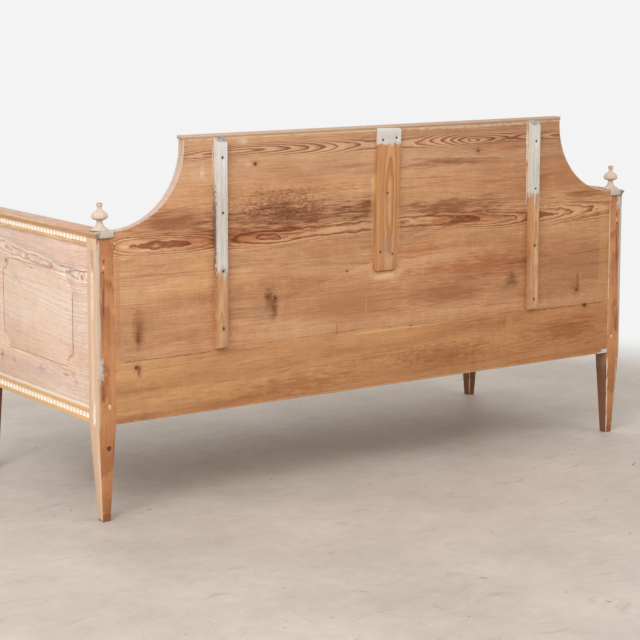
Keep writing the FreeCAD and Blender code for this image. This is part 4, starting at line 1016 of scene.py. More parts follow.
# The same pine sawn through its heart: flame figure along the middle, brown weathering above it
MIDDLE_BOARD = Pine(
    # far: painted shade towards the far end, where the light falls off
    "pine_aged_middle_board", Cut.BACK_BOARD, pale="#DEAE82", warm="#C08A61", far="#F2E8E0", heart_mm=34,
    ring_mm=4.7, wander_mm=3.4, heart_contrast=1.0, heart="#98603F", late="#9A6342", contrast=0.24,
    bloom=0.08, fibre=0.15, saw_marks=0.04, mottle=1.15,
    pith=((930, 36, 732), (880, 33, 730), (840, 27, 728), (760, 23, 725), (640, 24, 721), (590, 29.5, 720),
          (550, 30, 720), (500, 24.5, 721), (430, 21.5, 720), (378, 22, 717), (340, 23.5, 717),
          (304, 23.5, 720), (240, 21.5, 722), (150, 20, 724), (0, 20, 725), (-120, 20, 725),
          (-200, 22, 724), (-298, 26, 721), (-374, 30, 713), (-482, 34, 710), (-600, 37, 712),
          (-700, 40, 714), (-761, 43, 715), (-900, 47, 716)),
    knots=(Knot(370, 547, 4), Knot(-738, 471, 7, "#6A3E28"), Knot(130, 602, 3),
           Knot(-40, 580, 3)),
    cracks=(Crack((-455, 573), (-548, 577)), Crack((-700, 581), (-868, 590), 0.9),
            Crack((40, 478), (-60, 482), 0.6)),
    patches=(
        SHOW_SIDE,
        *COVE_RIM,
        # Brown weathering above the heart, drawn out along the grain
        stain(330, 772, 290, 54, "#B89C92", 0.95, 0.9, 0.8, STREAKS),
        stain(350, 800, 165, 50, "#B49A90", 0.75, 0.9, 1.1, (12, 20, 5)),
        stain(690, 778, 220, 50, "#BEA294", 0.9, 0.9, 0.5, STREAKS),
        stain(60, 775, 120, 38, "#B2968A", 0.9, 0.9, 0.8, STREAKS),
        stain(-260, 762, 280, 34, "#BCA090", 0.85, 0.9, 0.8, STREAKS),
        stain(500, 728, 400, 36, "#CDA690", 0.9, 0.8, 0.5, STREAKS),
        stain(-300, 722, 260, 30, "#D0A894", 0.8, 0.8, 0.6, STREAKS),
        stain(-760, 765, 140, 22, "#BFA496", 0.8, 0.9, 0.8, STREAKS),
        stain(300, 836, 300, 14, "#D8C2B6", 0.7, 0.9, 0.9, (30, 20, 5)),
        # Grey-brown smudges
        stain(386, 536, 32, 64, "#C2AC9E", 0.95, 1.0, 0.35),
        stain(374, 520, 17, 46, "#A8948A", 0.9, 1.0, 0.35),
        stain(395, 556, 16, 26, "#BCA698", 0.8, 1.0, 0.4),
        smear(420, 515, 62, 48, "#A17A62", 0.5, 1.0, 0.3),
        stain(797, 505, 28, 74, "#BCA698", 0.95, 1.0, 0.3),
        stain(800, 480, 11, 40, "#AC9486", 0.8, 1.0, 0.3),
        smear(770, 520, 45, 60, "#AD7D5A", 0.35, 1.0, 0.3),
        stain(-476, 522, 36, 34, "#B0A096", 0.95, 1.0, 0.4),
        smear(-450, 505, 70, 50, "#9C7052", 0.4, 1.0, 0.35),
        smear(120, 585, 70, 20, "#A07050", 0.35, 1.0, 0.5),
        smear(-60, 575, 50, 14, "#97684A", 0.4, 1.0, 0.5),
        smear(-640, 560, 60, 20, "#9A7256", 0.35, 1.0, 0.5),
        smear(-742, 500, 10, 40, "#7A4A30", 0.7, 0.8, 0.5, (9, 20, 14)),
        smear(-752, 512, 7, 30, "#D89A5E", 0.6, 0.9, 0.4, (9, 20, 14)),
        smear(-728, 480, 26, 34, "#8F5E40", 0.45, 0.9, 0.6, (12, 20, 14)),
        # Wood that the centre batten kept from the light
        smear(-2, 735, 58, 150, "#EBC796", 0.62, 0.4, 0.2, (20, 20, 60), Outline.BOX),
        smear(-8, 584, 74, 26, "#EFCC9A", 0.8, 0.9, 0.2, (24, 20, 12)),
        smear(600, 640, 90, 70, "#DBA66C", 0.35, 1.0, 0.4, STREAKS),
        smear(650, 600, 60, 24, "#E0A964", 0.35, 1.0, 0.4, STREAKS),
        # Reddish grain in the lower half
        smear(120, 500, 240, 84, "#AE734D", 0.7, 0.9, 0.25, STREAKS),
        stain(-360, 575, 330, 46, "#E4C8B4", 0.9, 0.9, 0.7, STREAKS),
        smear(-260, 510, 240, 60, "#A9724C", 0.6, 0.9, 0.35, STREAKS),
        stain(-250, 500, 190, 34, "#E6D4C8", 0.8, 0.9, 0.6, STREAKS),
        smear(-710, 550, 210, 110, "#A6714D", 0.55, 0.8, 0.5, STREAKS),
        stain(-120, 640, 160, 26, "#E6CDB6", 0.8, 0.9, 0.7, STREAKS),
        smear(-700, 640, 180, 40, "#B88860", 0.3, 1.0, 0.5, STREAKS),
        smear(-845, 600, 22, 170, "#D29C68", 0.4, 0.5, 0.3, STREAKS, Outline.BOX),
        smear(859, 620, 9, 200, "#C4835A", 0.5, 0.6, 0.3, STREAKS, Outline.BOX),
        # Scratches and pale rubs, and a painted shadow in the gap beside the right batten
        smear(-584, 762, 1.6, 9, "#E8D8C6", 0.9, 0.5, 0.4, (4, 20, 6)),
        smear(-606, 737, 5, 4, "#E3CDB4", 0.7, 0.6, 0.6, (4, 20, 4)),
        smear(-530, 800, 4, 72, "#EBE0CE", 0.85, 0.5, 0.8, DRIPS, Outline.BOX),
        smear(-569, 800, 4.4, 68, "#EBE0CE", 0.85, 0.5, 0.8, DRIPS, Outline.BOX),
        # Painted shadow in the gap beside the right batten's outer side
        smear(566.5, 740, 2.2, 130, "#5A4234", 0.6, 0.6, 0.9, (6, 20, 12), Outline.BOX),
        smear(-316, 640, 1.2, 230, "#99613F", 0.5, 0.6, 0.3, (8, 20, 60), Outline.BOX),
        smear(62, 500, 1.2, 40, "#DDB285", 0.5, 0.6, 0.3, (8, 20, 40), Outline.BOX),
        smear(165, 440, 1.8, 20, "#8A5334", 0.6, 0.6, 0.3, (8, 20, 20), Outline.BOX),
        smear(-330, 590, 40, 3, "#DDAE80", 0.55, 0.8, 0.6, STREAKS)),
)

# The same pine sawn further out: straight quiet grain, a shade redder from the floor's damp
LOWER_BOARD = Pine(
    # far: painted shade towards the far end, where the light falls off
    "pine_aged_lower_board", Cut.BACK_BOARD, pale="#CA9868", warm="#AC744B", far="#F4E6DD", ring_mm=5.5,
    fibre=0.14, mottle=1.2, heart_mm=34, heart_contrast=0.16, contrast=0.12, heart="#8F5836", bloom=0.08,
    wander_mm=4.5,
    pith=((900, 80, 300), (500, 66, 318), (200, 50, 330), (-100, 36, 342), (-250, 24, 352),
          (-400, 34, 350), (-600, 52, 340), (-900, 70, 330)),
    knots=(Knot(806, 404, 6.5, "#5E3420"), Knot(-98, 424, 5), Knot(-772, 420, 8, "#5E3420")),
    cracks=(Crack((-540, 421), (-868, 421.5), 1.0), Crack((866, 421.5), (560, 421), 0.9)),
    patches=(
        SHOW_SIDE,
        smear(0, 263, 900, 1.6, "#D8B48C", 0.7, 0.8, 0.6, (20, 20, 6), Outline.BOX),
        smear(-872, 266, 30, 8, "#E9E4DA", 0.95, 0.5, 0.8, (7, 20, 7)),
        smear(-850, 261, 34, 2.4, "#EFEAE0", 0.95, 0.4, 0.5, (9, 20, 5), Outline.BOX),
        smear(799, 394, 7, 20, "#5E3420", 0.8, 0.9, 0.4, (6, 20, 9)),
        smear(798, 390, 16, 24, "#96623F", 0.5, 1.0, 0.3),
        smear(-60, 420, 330, 4, "#DDB080", 0.6, 0.8, 0.6, STREAKS),
        smear(-449, 398, 3, 24, "#7E4E34", 0.6, 0.8, 0.7, (5, 20, 12), Outline.BOX),
        smear(-470, 400, 14, 22, "#C98C58", 0.5, 0.7, 0.4, (9, 20, 9), Outline.BOX),
        smear(-430, 392, 12, 26, "#9C6A4A", 0.4, 1.0, 0.5),
        smear(-360, 352, 60, 24, "#A56F4C", 0.4, 1.0, 0.5, (20, 20, 10)),
        smear(-200, 345, 150, 24, "#A97350", 0.35, 1.0, 0.6, (24, 20, 9)),
        smear(150, 330, 60, 20, "#A57550", 0.3, 1.0, 0.5),
        smear(-330, 340, 1.2, 85, "#9A6440", 0.45, 0.6, 0.3, (8, 20, 60), Outline.BOX),
        smear(-640, 330, 3, 2.5, "#E8DCC8", 0.8, 0.6, 0.5, (4, 20, 4)),
        smear(-845, 340, 22, 75, "#C08456", 0.45, 0.5, 0.3, STREAKS, Outline.BOX),
        stain(-700, 350, 210, 60, "#DCC4B4", 0.9, 0.9, 0.6, STREAKS),
        stain(-200, 330, 260, 34, "#E0C8B6", 0.8, 0.9, 0.8, (30, 20, 9)),
        stain(300, 300, 300, 30, "#E4CEBC", 0.8, 0.9, 0.8, (40, 20, 9))),
)

# Thin strip with the last of its lead paint: greyed white over brown wood
CREST_STRIP = replace(
    UPPER_BOARD, name="pine_painted_crest_strip", knots=(),
    patches=(
        Patch((0, 342, 1000), (0, 0, 0), "#C7AE9C", 0.55, 0.5, 0.5, (60, 12, 12)),
        Patch((0, BACK_FACE_MM, 1002.5), (0, 0, 1.4), "#DCC9AA", 0.8, 0.8, 0.6, (30, 20, 6)),
        Patch((0, BACK_FACE_MM, 998), (0, 0, 1.6), "#A9907C", 0.6, 0.8, 0.6, (26, 20, 6))),
)

# Sawn batten under chalky grey paint that ends halfway: matt grey above, bare streaked wood below
SIDE_BATTEN = Pine(
    "pine_painted_batten", Cut.BATTEN, pale="#D8A878", warm="#C08C66", ring_mm=3.5, heart_mm=10,
    pith=((380, 22, 560), (700, 30, 552), (1000, 20, 556)),
    contrast=0.25, heart_contrast=0.3, bloom=0.08,
    patches=(
        Patch((560, 366, 450), (40, 0, 40), "#B98F74", 0.5, 1.0, 0.5, (9, 9, 30)),
        # Painted shade on the bevelled foot of the batten
        Patch((549, 376.5, 427), (40, 0, 4), "#8F6E58", 0.6, 0.8, 0.4, (9, 9, 9)),
        # Grey paint down to the middle
        Patch((549, 366, 852), (60, 0, 222), "#DDDBD8", 0.95, 0.10, 0.16, (4, 9, 45), height=1.5),
        Patch((549, 366, 800), (60, 0, 190), "#C3B9AE", 0.6, 0.8, 1.3, (3, 9, 60)),
        Patch((549, 366, 940), (60, 0, 90), "#E5E3E0", 0.6, 0.8, 1.2, (3, 9, 40)),
        Patch((541, 366, 830), (1.2, 0, 190), "#B7AFA2", 0.5, 0.8, 0.5, (5, 9, 60)),
        Patch((552, 366, 840), (2, 0, 190), "#CBBFA6", 0.45, 0.8, 0.5, (5, 9, 60)),
        # Painted shadow in the gap along the batten's outer side, with a ragged edge
        Patch((564, 360, 740), (2.2, 8, 130), "#4C3A30", 0.75, 0.5, 0.9, (6, 6, 11)),
        nail_stain(549, 640, 9, 9, "#4A3B33", 0.7),
        nail_stain(549, 484, 8, 12, "#54453D", 0.6),
        nail_stain(549, 796, 7, 8, "#7B766E", 0.6),
        nail_stain(549, 944, 7, 8, "#8C877E", 0.6)),
)
# The same on the other side, painted in its upper third alone
FAR_BATTEN = replace(
    SIDE_BATTEN, name="pine_painted_far_batten",
    pith=((380, 22, -560), (700, 30, -552), (1000, 20, -556)),
    patches=(
        # Painted shade on the bevelled foot of the batten
        Patch((-549, 376.5, 427), (40, 0, 4), "#A08870", 0.6, 0.8, 0.4, (9, 9, 9)),
        Patch((-536, 368, 500), (3, 12, 90), "#DCC4A4", 0.5, 0.8, 0.4, (6, 6, 40)),
        Patch((-549, 366, 893), (60, 0, 119), "#DEDBD4", 0.95, 0.10, 0.12, (5, 9, 26), height=1.5),
        Patch((-549, 366, 840), (60, 0, 90), "#B4B7B2", 0.55, 0.9, 1.2, (4, 9, 40)),
        Patch((-546, 377, 860), (4, 4, 150), "#E4E2DA", 0.7, 0.8, 0.8, (3, 9, 40)),
        Patch((-535, 366, 885), (1.5, 0, 120), "#E3DFD4", 0.9, 0.3, 0.3, (6, 9, 26)),
        nail_stain(-549, 624, 8, 10, "#5C4636", 0.65),
        nail_stain(-549, 461, 7, 10, "#5C4636", 0.65),
        nail_stain(-549, 937, 6, 7, "#9AA09E", 0.6)),
)
# Planed pine board with a straight heart: golden stripes, and grey paint on its head
CENTRE_BATTEN = Pine(
    "pine_painted_centre_batten", Cut.BATTEN, pale="#D39C68", warm="#BC8053", late="#9A5A3A", ring_mm=5,
    pith=((560, 30, -8), (800, 26, -12), (1010, 32, -16)), contrast=0.4,
    heart_contrast=0.5, heart_mm=22, wander_mm=2,
    patches=(
        Patch((-4, 366, 655), (24, 0, 66), "#B58C78", 0.6, 1.0, 0.4, (7, 7, 40)),
        # Painted shadow along the batten's right edge
        Patch((36, 366, 760), (4, 0, 190), "#9A6440", 0.5, 0.8, 0.5, (6, 6, 60)),
        Patch((-12, 366, 978), (80, 0, 29), "#D9D5CE", 0.92, 0.25, 0.35, (7, 9, 16), height=1.0),
        Patch((30, 366, 760), (9, 0, 190), "#D9A468", 0.4, 0.8, 0.3, (6, 6, 60)),
        # Painted shadow line under the bevelled foot of the batten
        Patch((-2, 366, 593), (60, 0, 3), "#7A543C", 0.6, 0.8, 0.4, (9, 9, 9))),
)
# Whittled pine peg, seen on its end: pale rings
PEG = Pine(
    "pine_whittled_peg", Cut.END_BOARD, pale="#E6CBA4", warm="#D8B488", ring_mm=1.6, contrast=0.3,
    heart_contrast=0.3, both_ends=True, pith=((-900, 30, 318), (900, 30, 318)), saw_marks=0)
# Planed moulding, limed white: chalky, with the wood showing through
BACK_MOULDING = Pine(
    "pine_limed_moulding", Cut.BACK_BOARD, pale="#D8B294", warm="#C89C7C", lime=0.7, lime_colour="#E8DCCB",
    contrast=0.2, heart_contrast=0.2)


@dataclass
class Back(Woodwork):
    """The back: three boards, the strip on top, the mouldings and the battens."""

    boards: Mapping[str, Pine] = field(default_factory=lambda: {
        "back_board_upper": UPPER_BOARD, "back_board_middle": MIDDLE_BOARD,
        "back_board_lower": LOWER_BOARD, "crest_strip": CREST_STRIP})
    battens: Mapping[str, Pine] = field(default_factory=lambda: {
        "side_batten_right": SIDE_BATTEN, "side_batten_left": FAR_BATTEN, "centre_batten": CENTRE_BATTEN})
    mouldings: tuple[str, ...] = ("crest_moulding", "cove_moulding_left", "cove_moulding_right")
    head_fall_mm: float = 14.0
    foot_cut_mm: tuple[float, float] = (5.0, 3.5)

    def build(self) -> None:
        """Build every piece of the back."""
        for node, finish in self.boards.items():
            self.stand_in(node, Body.FRAME, "back_pine", finish, 0.8)
        for node, finish in self.battens.items():
            self.stand_in(node, Body.FRAME, "batten_pine", finish, 1.5, shape=self._splayed)
        for node in self.mouldings:
            self.stand_in(node, Body.FRAME, "limed_pine", BACK_MOULDING, 0.6)
        self.stand_in("tenon_pegs", Body.FRAME, "batten_pine", PEG, 0.4)

    def _splayed(self, batten: bpy.types.Object) -> None:
        """Cut a batten's head off on the slant and take the lower edge of its foot away.

        Args:
            batten: the batten, before its edges are eased.
        """
        corners = [Vector(corner) for corner in batten.bound_box]
        heights = [corner.z for corner in corners]
        face, foot, head = max(corner.y for corner in corners), min(heights), max(heights)
        thick = face - BACK_FACE_MM * MM
        fall = min(self.head_fall_mm * MM, thick * 0.75)
        rise, depth = self.foot_cut_mm
        for place, turn in ((Vector((0.0, face, head - fall)), Vector((0.0, fall, thick))),
                            (Vector((0.0, face, foot + rise * MM)), Vector((0.0, rise, -depth)))):
            take(batten)
            bpy.ops.object.mode_set(mode="EDIT")
            bpy.ops.mesh.select_all(action="SELECT")
            bpy.ops.mesh.bisect(plane_co=place, plane_no=turn.normalized(), use_fill=True, clear_outer=True)
            bpy.ops.mesh.select_all(action="SELECT")
            bpy.ops.mesh.normals_make_consistent(inside=False)
            bpy.ops.object.mode_set(mode="OBJECT")


LIMED_SIDE = Patch((920, 0, 400), (0, 0, 0), "#EBCAAB", 0.82, 0.5, 0.3, LONG_DRIPS, facing=OUTWARD)
LIMED_FRONT = Patch((0, -372.5, 400), (0, 0, 0), "#EBCBAC", 0.80, 0.5, 0.3, LONG_DRIPS, facing=FRONT)
# Brown wood on the inner faces, darkened with painted shade under the seat
SHADED_BROWN_INSIDE = Patch((880, 0, 120), (0, 0, 150), "#7C5340", 0.8, 0.12, 0.3, LONG_DRIPS, facing=INWARD)
# Planed pine post: bare orange brown towards the wall, scrubbed lime wash in streaks on the show faces
POST = Pine(
    "pine_limed_post", Cut.POST, pale="#C78A5B", warm="#AE7349", late="#8E522E", ring_mm=3.2, both_ends=True,
    pith=((-50, 40, 350), (400, 34, 352), (780, 42, 348)), contrast=0.4,
    heart_contrast=0.45, heart_mm=14, fibre=0.13, bloom=0.08, roughness=0.55,
    patches=(
        # Lime and old primer on the faces that were shown
        LIMED_SIDE,
        Patch((870, 0, 620), (0, 0, 190), "#E6C5A4", 0.75, 0.3, 0.3, LONG_DRIPS, facing=INWARD),
        Patch((920, 331.5, 500), (0, 30, 260), "#E2A878", 0.35, 0.9, 0.9, LONG_DRIPS, facing=OUTWARD),
        Patch((920, 331.5, 500), (0, 11, 225), "#F0DCC8", 0.5, 0.3, 0.5, LONG_DRIPS),
        Patch((920, 345, 120), (0, 14, 150), "#EED6BE", 0.6, 0.9, 0.6, LONG_DRIPS, facing=OUTWARD),
        Patch((913, 331.5, 490), (5.5, 9, 235), "#CFA88A", 0.5, 0.6, 0.5, (4, 4, 60)),
        Patch((914, 331.5, 285), (8, 9, 32), "#F1EAE2", 0.9, 0.5, 0.6, (5, 5, 16)),
        Patch((914, 331.5, 610), (8, 8, 60), "#EFE6DC", 0.75, 0.5, 0.8, (5, 5, 16)),
        Patch((914, 331.5, 690), (8, 9, 30), "#8F7C6C", 0.5, 0.7, 0.8, (4, 4, 16)),
        LIMED_FRONT,
        # Faces turned in under the seat: brown wood, darkened further with painted shade because they lie
        # under the seat
        SHADED_BROWN_INSIDE,
        Patch((880, 0, 240), (0, 0, 40), "#CDBBA8", 0.3, 0.9, 1.3, (4, 4, 14), facing=INWARD),
        Patch((880, 280, 120), (0, 80, 150), "#9A6848", 0.6, 0.12, 0.05, LONG_DRIPS, facing=FRONT),
        Patch((900, -320.5, 120), (0, 30, 150), "#65422D", 0.85, 0.15, 0.3, LONG_DRIPS, facing=REAR),
        # Grey paint that ran round the arris on to the rear face
        Patch((920, 357, 570), (9, 5, 190), "#C3BCB0", 0.9, 0.25, 0.32, (7, 30, 40), facing=REAR, height=1.0),
        Patch((918.5, 357, 320), (5, 5, 80), "#BFB6A8", 0.8, 0.4, 0.4, (7, 30, 30), facing=REAR),
        Patch((902, 357, 588), (4.5, 5, 55), "#7A3F36", 0.75, 0.7, 0.3, (6, 30, 30), facing=REAR),
        Patch((906, 357, 345), (6, 5, 32), "#8E4A33", 0.65, 0.7, 0.4, (6, 30, 18), facing=REAR),
        Patch((899, 357, 692), (5, 5, 9), "#5B3A26", 0.8, 0.8, 0.5, (5, 30, 8), Outline.ROUND, facing=REAR),
        Patch((902, 357, 664), (4, 5, 5), "#442A1C", 0.9, 0.7, 0.4, (4, 30, 4), Outline.ROUND, facing=REAR),
        Patch((900, 357, 676), (5, 5, 5), "#E9CDA8", 0.7, 0.8, 0.4, (4, 30, 4), Outline.ROUND, facing=REAR),
        Patch((878, 357, 420), (6, 5, 220), "#C8905E", 0.5, 0.4, 0.3, (7, 30, 60), facing=REAR),
        Patch((887, 357, 306), (4.5, 5, 4.5), "#E3C7A0", 0.8, 0.8, 0.3, (5, 30, 5),
              Outline.ROUND, facing=REAR),
        # The foot is darker towards the floor
        Patch((900, 0, 10), (0, 0, 14), "#93502F", 0.75, 0.5, 0.5, (8, 8, 10), facing=REAR),
        Patch((900, 0, 2), (0, 0, 5), "#6B5242", 0.6, 0.8, 0.6, (8, 8, 6)),
        Patch((900, 0, 700), (0, 0, 40), "#C9B9A6", 0.5, 0.8, 0.9, (9, 9, 14), facing=INWARD)),
)
# The same, with a splash of grey paint and a knot in its leg
NEAR_POST = replace(
    POST, name="pine_limed_near_post", patches=POST.patches + (
        Patch((916, 357, 410), (13, 5, 34), "#C9C2B8", 0.9, 0.5, 0.8, (9, 30, 14), facing=REAR, height=1.0),
        # A knot in the leg
        Patch((890, 357, 198), (7, 30, 8), "#3E2418", 1.0, 0.35, 0.25, (5, 30, 5),
              Outline.ROUND, facing=REAR),
        Patch((890, 357, 198), (3, 30, 4), "#8A5634", 0.9, 0.5, 0.25, (5, 30, 5), Outline.ROUND, facing=REAR),
    ))
# The same, with grey drips below its cap and a cream line down the leg
FAR_POST = replace(
    POST, name="pine_limed_far_post", patches=POST.patches + (
        Patch((908, 357, 735), (9, 5, 26), "#CBC4BA", 0.9, 0.6, 1.0, (6, 30, 12), facing=REAR, height=1.0),
        Patch((871, 357, 600), (2.4, 5, 260), "#EBD6B8", 0.7, 0.5, 0.8, (5, 30, 40), facing=REAR),
        # Cream paint on the inner arris of the tapered leg
        *(Patch((871 + 14 * (260 - height) / 260, 0, height), (3.4, 0, 36), "#F1E6D3", 0.9,
                0.5, 0.5, (5, 30, 20), facing=REAR) for height in (30, 90, 150, 210)),
        Patch((912, 0, 130), (4, 0, 130), "#E3CDB2", 0.5, 0.7, 0.9, (5, 30, 20), facing=REAR)))
# The half that draws out: the same wash on its show faces
PULL_LEG = replace(POST, name="pine_limed_pull_leg", patches=(LIMED_SIDE, LIMED_FRONT, SHADED_BROWN_INSIDE))
# Edges rubbed by hands and brooms: bare pale wood
POST_ARRIS = Pine(
    "pine_worn_arris", Cut.POST, pale="#EEDAC0", warm="#DDBC98", both_ends=True, contrast=0.1,
    heart_contrast=0.1, bloom=0.12,
    patches=(Patch((920, 0, 120), (0, 0, 130), "#E9DCC8", 0.6, 0.5, 0.6, LONG_DRIPS),))

# Wide planed board, limed and scrubbed: chalky pink white, its rings still brown
END_PANEL = Pine(
    "pine_limed_panel", Cut.END_BOARD, pale="#F8E2CF", warm="#EFC4A2", late="#C88562", heart="#B0683F",
    ring_mm=5.2, both_ends=True, contrast=0.45, heart_contrast=0.75, heart_mm=34, wander_mm=4.5, fibre=0.12,
    mottle=1.5, bloom=0.07, saw_marks=0.02, lime=0.5, lime_colour="#F3E6E2", relief_mm=0.35,
    pith=((-360, 26, 690), (-200, 14, 668), (-90, 20, 660), (60, 12, 652),
          (150, 22, 640), (261, 10, 645), (330, 16, 650)),
    knots=(Knot(-194, 632, 6, "#B8693A"), Knot(-232, 358, 5.5, "#9A6A58"),
           Knot(-154, 355, 4.5, "#7E564A"), Knot(261, 641, 4, "#C0808A")),
    cracks=(Crack((110, 656), (292, 656), 1.2, "#B4685E"), Crack((-120, 392), (140, 384), 0.9, "#8C7464")),
    patches=(
        Patch((908, 20, 700), (0, 340, 44), "#E4BCB0", 0.45, 0.9, 0.8, (20, 60, 12)),
        Patch((908, -20, 350), (0, 330, 30), "#DDBCB4", 0.5, 0.9, 0.9, (20, 40, 12)),
        Patch((908, -20, 520), (0, 330, 190), "#EFD9C0", 0.35, 0.9, 0.8, (20, 60, 18)),
        # Grey-pink smudges
        *(Patch((911, y, z), (9, half_y, half_z), colour, strength, 0.9, 0.6, (9, 14, 7),
                Outline.ROUND) for y, z, half_y, half_z, colour, strength in (
            (18, 358, 30, 7, "#B39AA0", 0.6), (156, 365, 26, 6, "#AC8F90", 0.6),
            (215, 354, 22, 9, "#B89C98", 0.5), (48, 646, 36, 5, "#A58C92", 0.55),
            (-39, 631, 18, 5, "#9C8288", 0.55))),
        Patch((911, 200, 372), (9, 16, 12), "#E2A860", 0.6, 0.8, 0.4, (9, 9, 9), Outline.ROUND),
        # Dirt and painted shade in the bottom of the upright incised lines; the level ones are kept pale
        Patch((907.6, 201.5, 512), (1.7, 6, 92), "#7C6A5C", 0.85, 0.25, 0.3, (5, 9, 30)),
        Patch((907.6, -216.5, 512), (1.7, 6, 92), "#8C7868", 0.7, 0.25, 0.3, (5, 9, 30)),
        Patch((907.6, 0, 388), (1.9, 180, 7), "#F0D8C4", 0.75, 0.3, 0.5, (30, 60, 9)),
        Patch((907.6, 0, 637), (1.9, 180, 7), "#E8C8AC", 0.75, 0.3, 0.5, (30, 60, 9)),
        Patch((895, 0, 500), (6, 0, 0), "#D9B08C", 0.6, 0.5, 0.5, (20, 60, 12))),
)

# Rail that kept its old golden size: warm yellow, with white paint in the gouged flutes
END_RAIL = Pine(
    "pine_golden_rail", Cut.END_BOARD, pale="#F0CA98", warm="#E8B87E", late="#D09A60", ring_mm=3.2,
    both_ends=True, contrast=0.2, heart_contrast=0.3, heart_mm=9, fibre=0.05, bloom=0.05, saw_marks=0,
    pith=((-360, 20, 735), (0, 26, 738), (330, 20, 733)), roughness=0.5,
    patches=(
        # White paint stayed in the flutes
        Patch((916, 0, 279), (0, 0, 8.5), "#FAE6D0", 0.8, 0.5, 0.4, (4, 6, 5)),
        Patch((916, 0, 745), (0, 0, 8), "#FAE6D0", 0.8, 0.5, 0.4, (4, 6, 5)),
        Patch((911.8, 0, 500), (3.8, 0, 0), "#FFFAF3", 0.97, 0.3, 0.12, (4, 4, 8)),
        Patch((911, 0, 302), (0, 0, 5), "#DDD4C6", 0.85, 0.5, 0.5, (14, 40, 5)),
        Patch((916, 0, 291), (0, 0, 1.6), "#D6A26A", 0.5, 0.8, 0.4, (14, 40, 5)),
        Patch((916, 0, 727), (0, 0, 1.8), "#D6A26A", 0.6, 0.8, 0.4, (14, 40, 5)),
        Patch((916, 340, 500), (0, 20, 0), "#EDD9BC", 0.5, 0.8, 0.5, (14, 9, 9)),
        Patch((886, 0, 500), (6, 0, 0), "#DDB68E", 0.7, 0.6, 0.4, (20, 60, 12))),
)
# Rail for the arms, polished by sleeves: satin brown with greyed patches
ARM_CAP = Pine(
    "pine_worn_cap", Cut.END_BOARD, pale="#D0A47C", warm="#C28F64", late="#A87050", ring_mm=3.6,
    both_ends=True, contrast=0.5, heart_contrast=0.7, heart_mm=16, fibre=0.15, bloom=0.08, lime=0.3,
    lime_colour="#CDB5A6", saw_marks=0, roughness=0.5,
    pith=((-380, 22, 790), (0, 16, 786), (380, 24, 792)),
    patches=(
        Patch((880, -120, 773), (26, 230, 9), "#BDAAA4", 0.6, 0.9, 0.6, (30, 60, 12)),
        Patch((890, 180, 773), (0, 170, 9), "#D0A488", 0.35, 0.9, 0.7, (30, 60, 12)),
        # The hollow below the nose kept a golden tone
        Patch((915, 0, 755.5), (30, 0, 4.5), "#F3C48C", 0.85, 0.6, 0.3, (20, 60, 6)),
        Patch((925, 0, 763), (9, 0, 1.3), "#B98654", 0.5, 0.9, 0.7, (20, 60, 6)),
        Patch((925, -40, 765), (6, 260, 3), "#E9BE8C", 0.6, 0.9, 0.7, (20, 40, 6)),
        # Chipped grey paint on the rear end
        Patch((895, 366, 762), (0, 9, 14), "#C4BDB1", 0.95, 0.4, 0.45, (9, 9, 6), height=1.0),
        Patch((919, 364, 758), (12, 8, 9), "#6B5A4C", 0.8, 0.5, 0.9, (5, 9, 5)),
        Patch((890, 364, 751.5), (40, 8, 3.4), "#7C6A5A", 0.7, 0.5, 0.9, (6, 9, 4)),
        Patch((890, 350, 772), (0, 22, 6), "#D8CEC0", 0.5, 0.9, 0.9, (9, 9, 6))),
)
# Turned birch under worn grey white paint: close grained, nearly plain, dirt in its hollows
BIRCH = Pine(
    "birch_turned", Cut.POST, pale="#DAC8B6", warm="#CCB49E", late="#C4A490", heart="#C4A490", ring_mm=3,
    contrast=0.12, heart_contrast=0.12, fibre=0.04, bloom=0.09, lime=0.3, saw_marks=0, roughness=0.6,
    pith=((700, 5, 0), (800, 6, 0), (900, 5, 0)),
    patches=(
        Patch((0, 0, 841.5), (0, 0, 2.8), "#6E5C4E", 0.7, 0.6, 0.8, (5, 5, 4)),
        Patch((0, 0, 799), (0, 0, 3.4), "#9C7E6A", 0.6, 0.8, 0.5, (5, 5, 4)),
        Patch((0, 0, 769.5), (0, 0, 2), "#B79A80", 0.5, 0.8, 0.5, (5, 5, 4))),
)


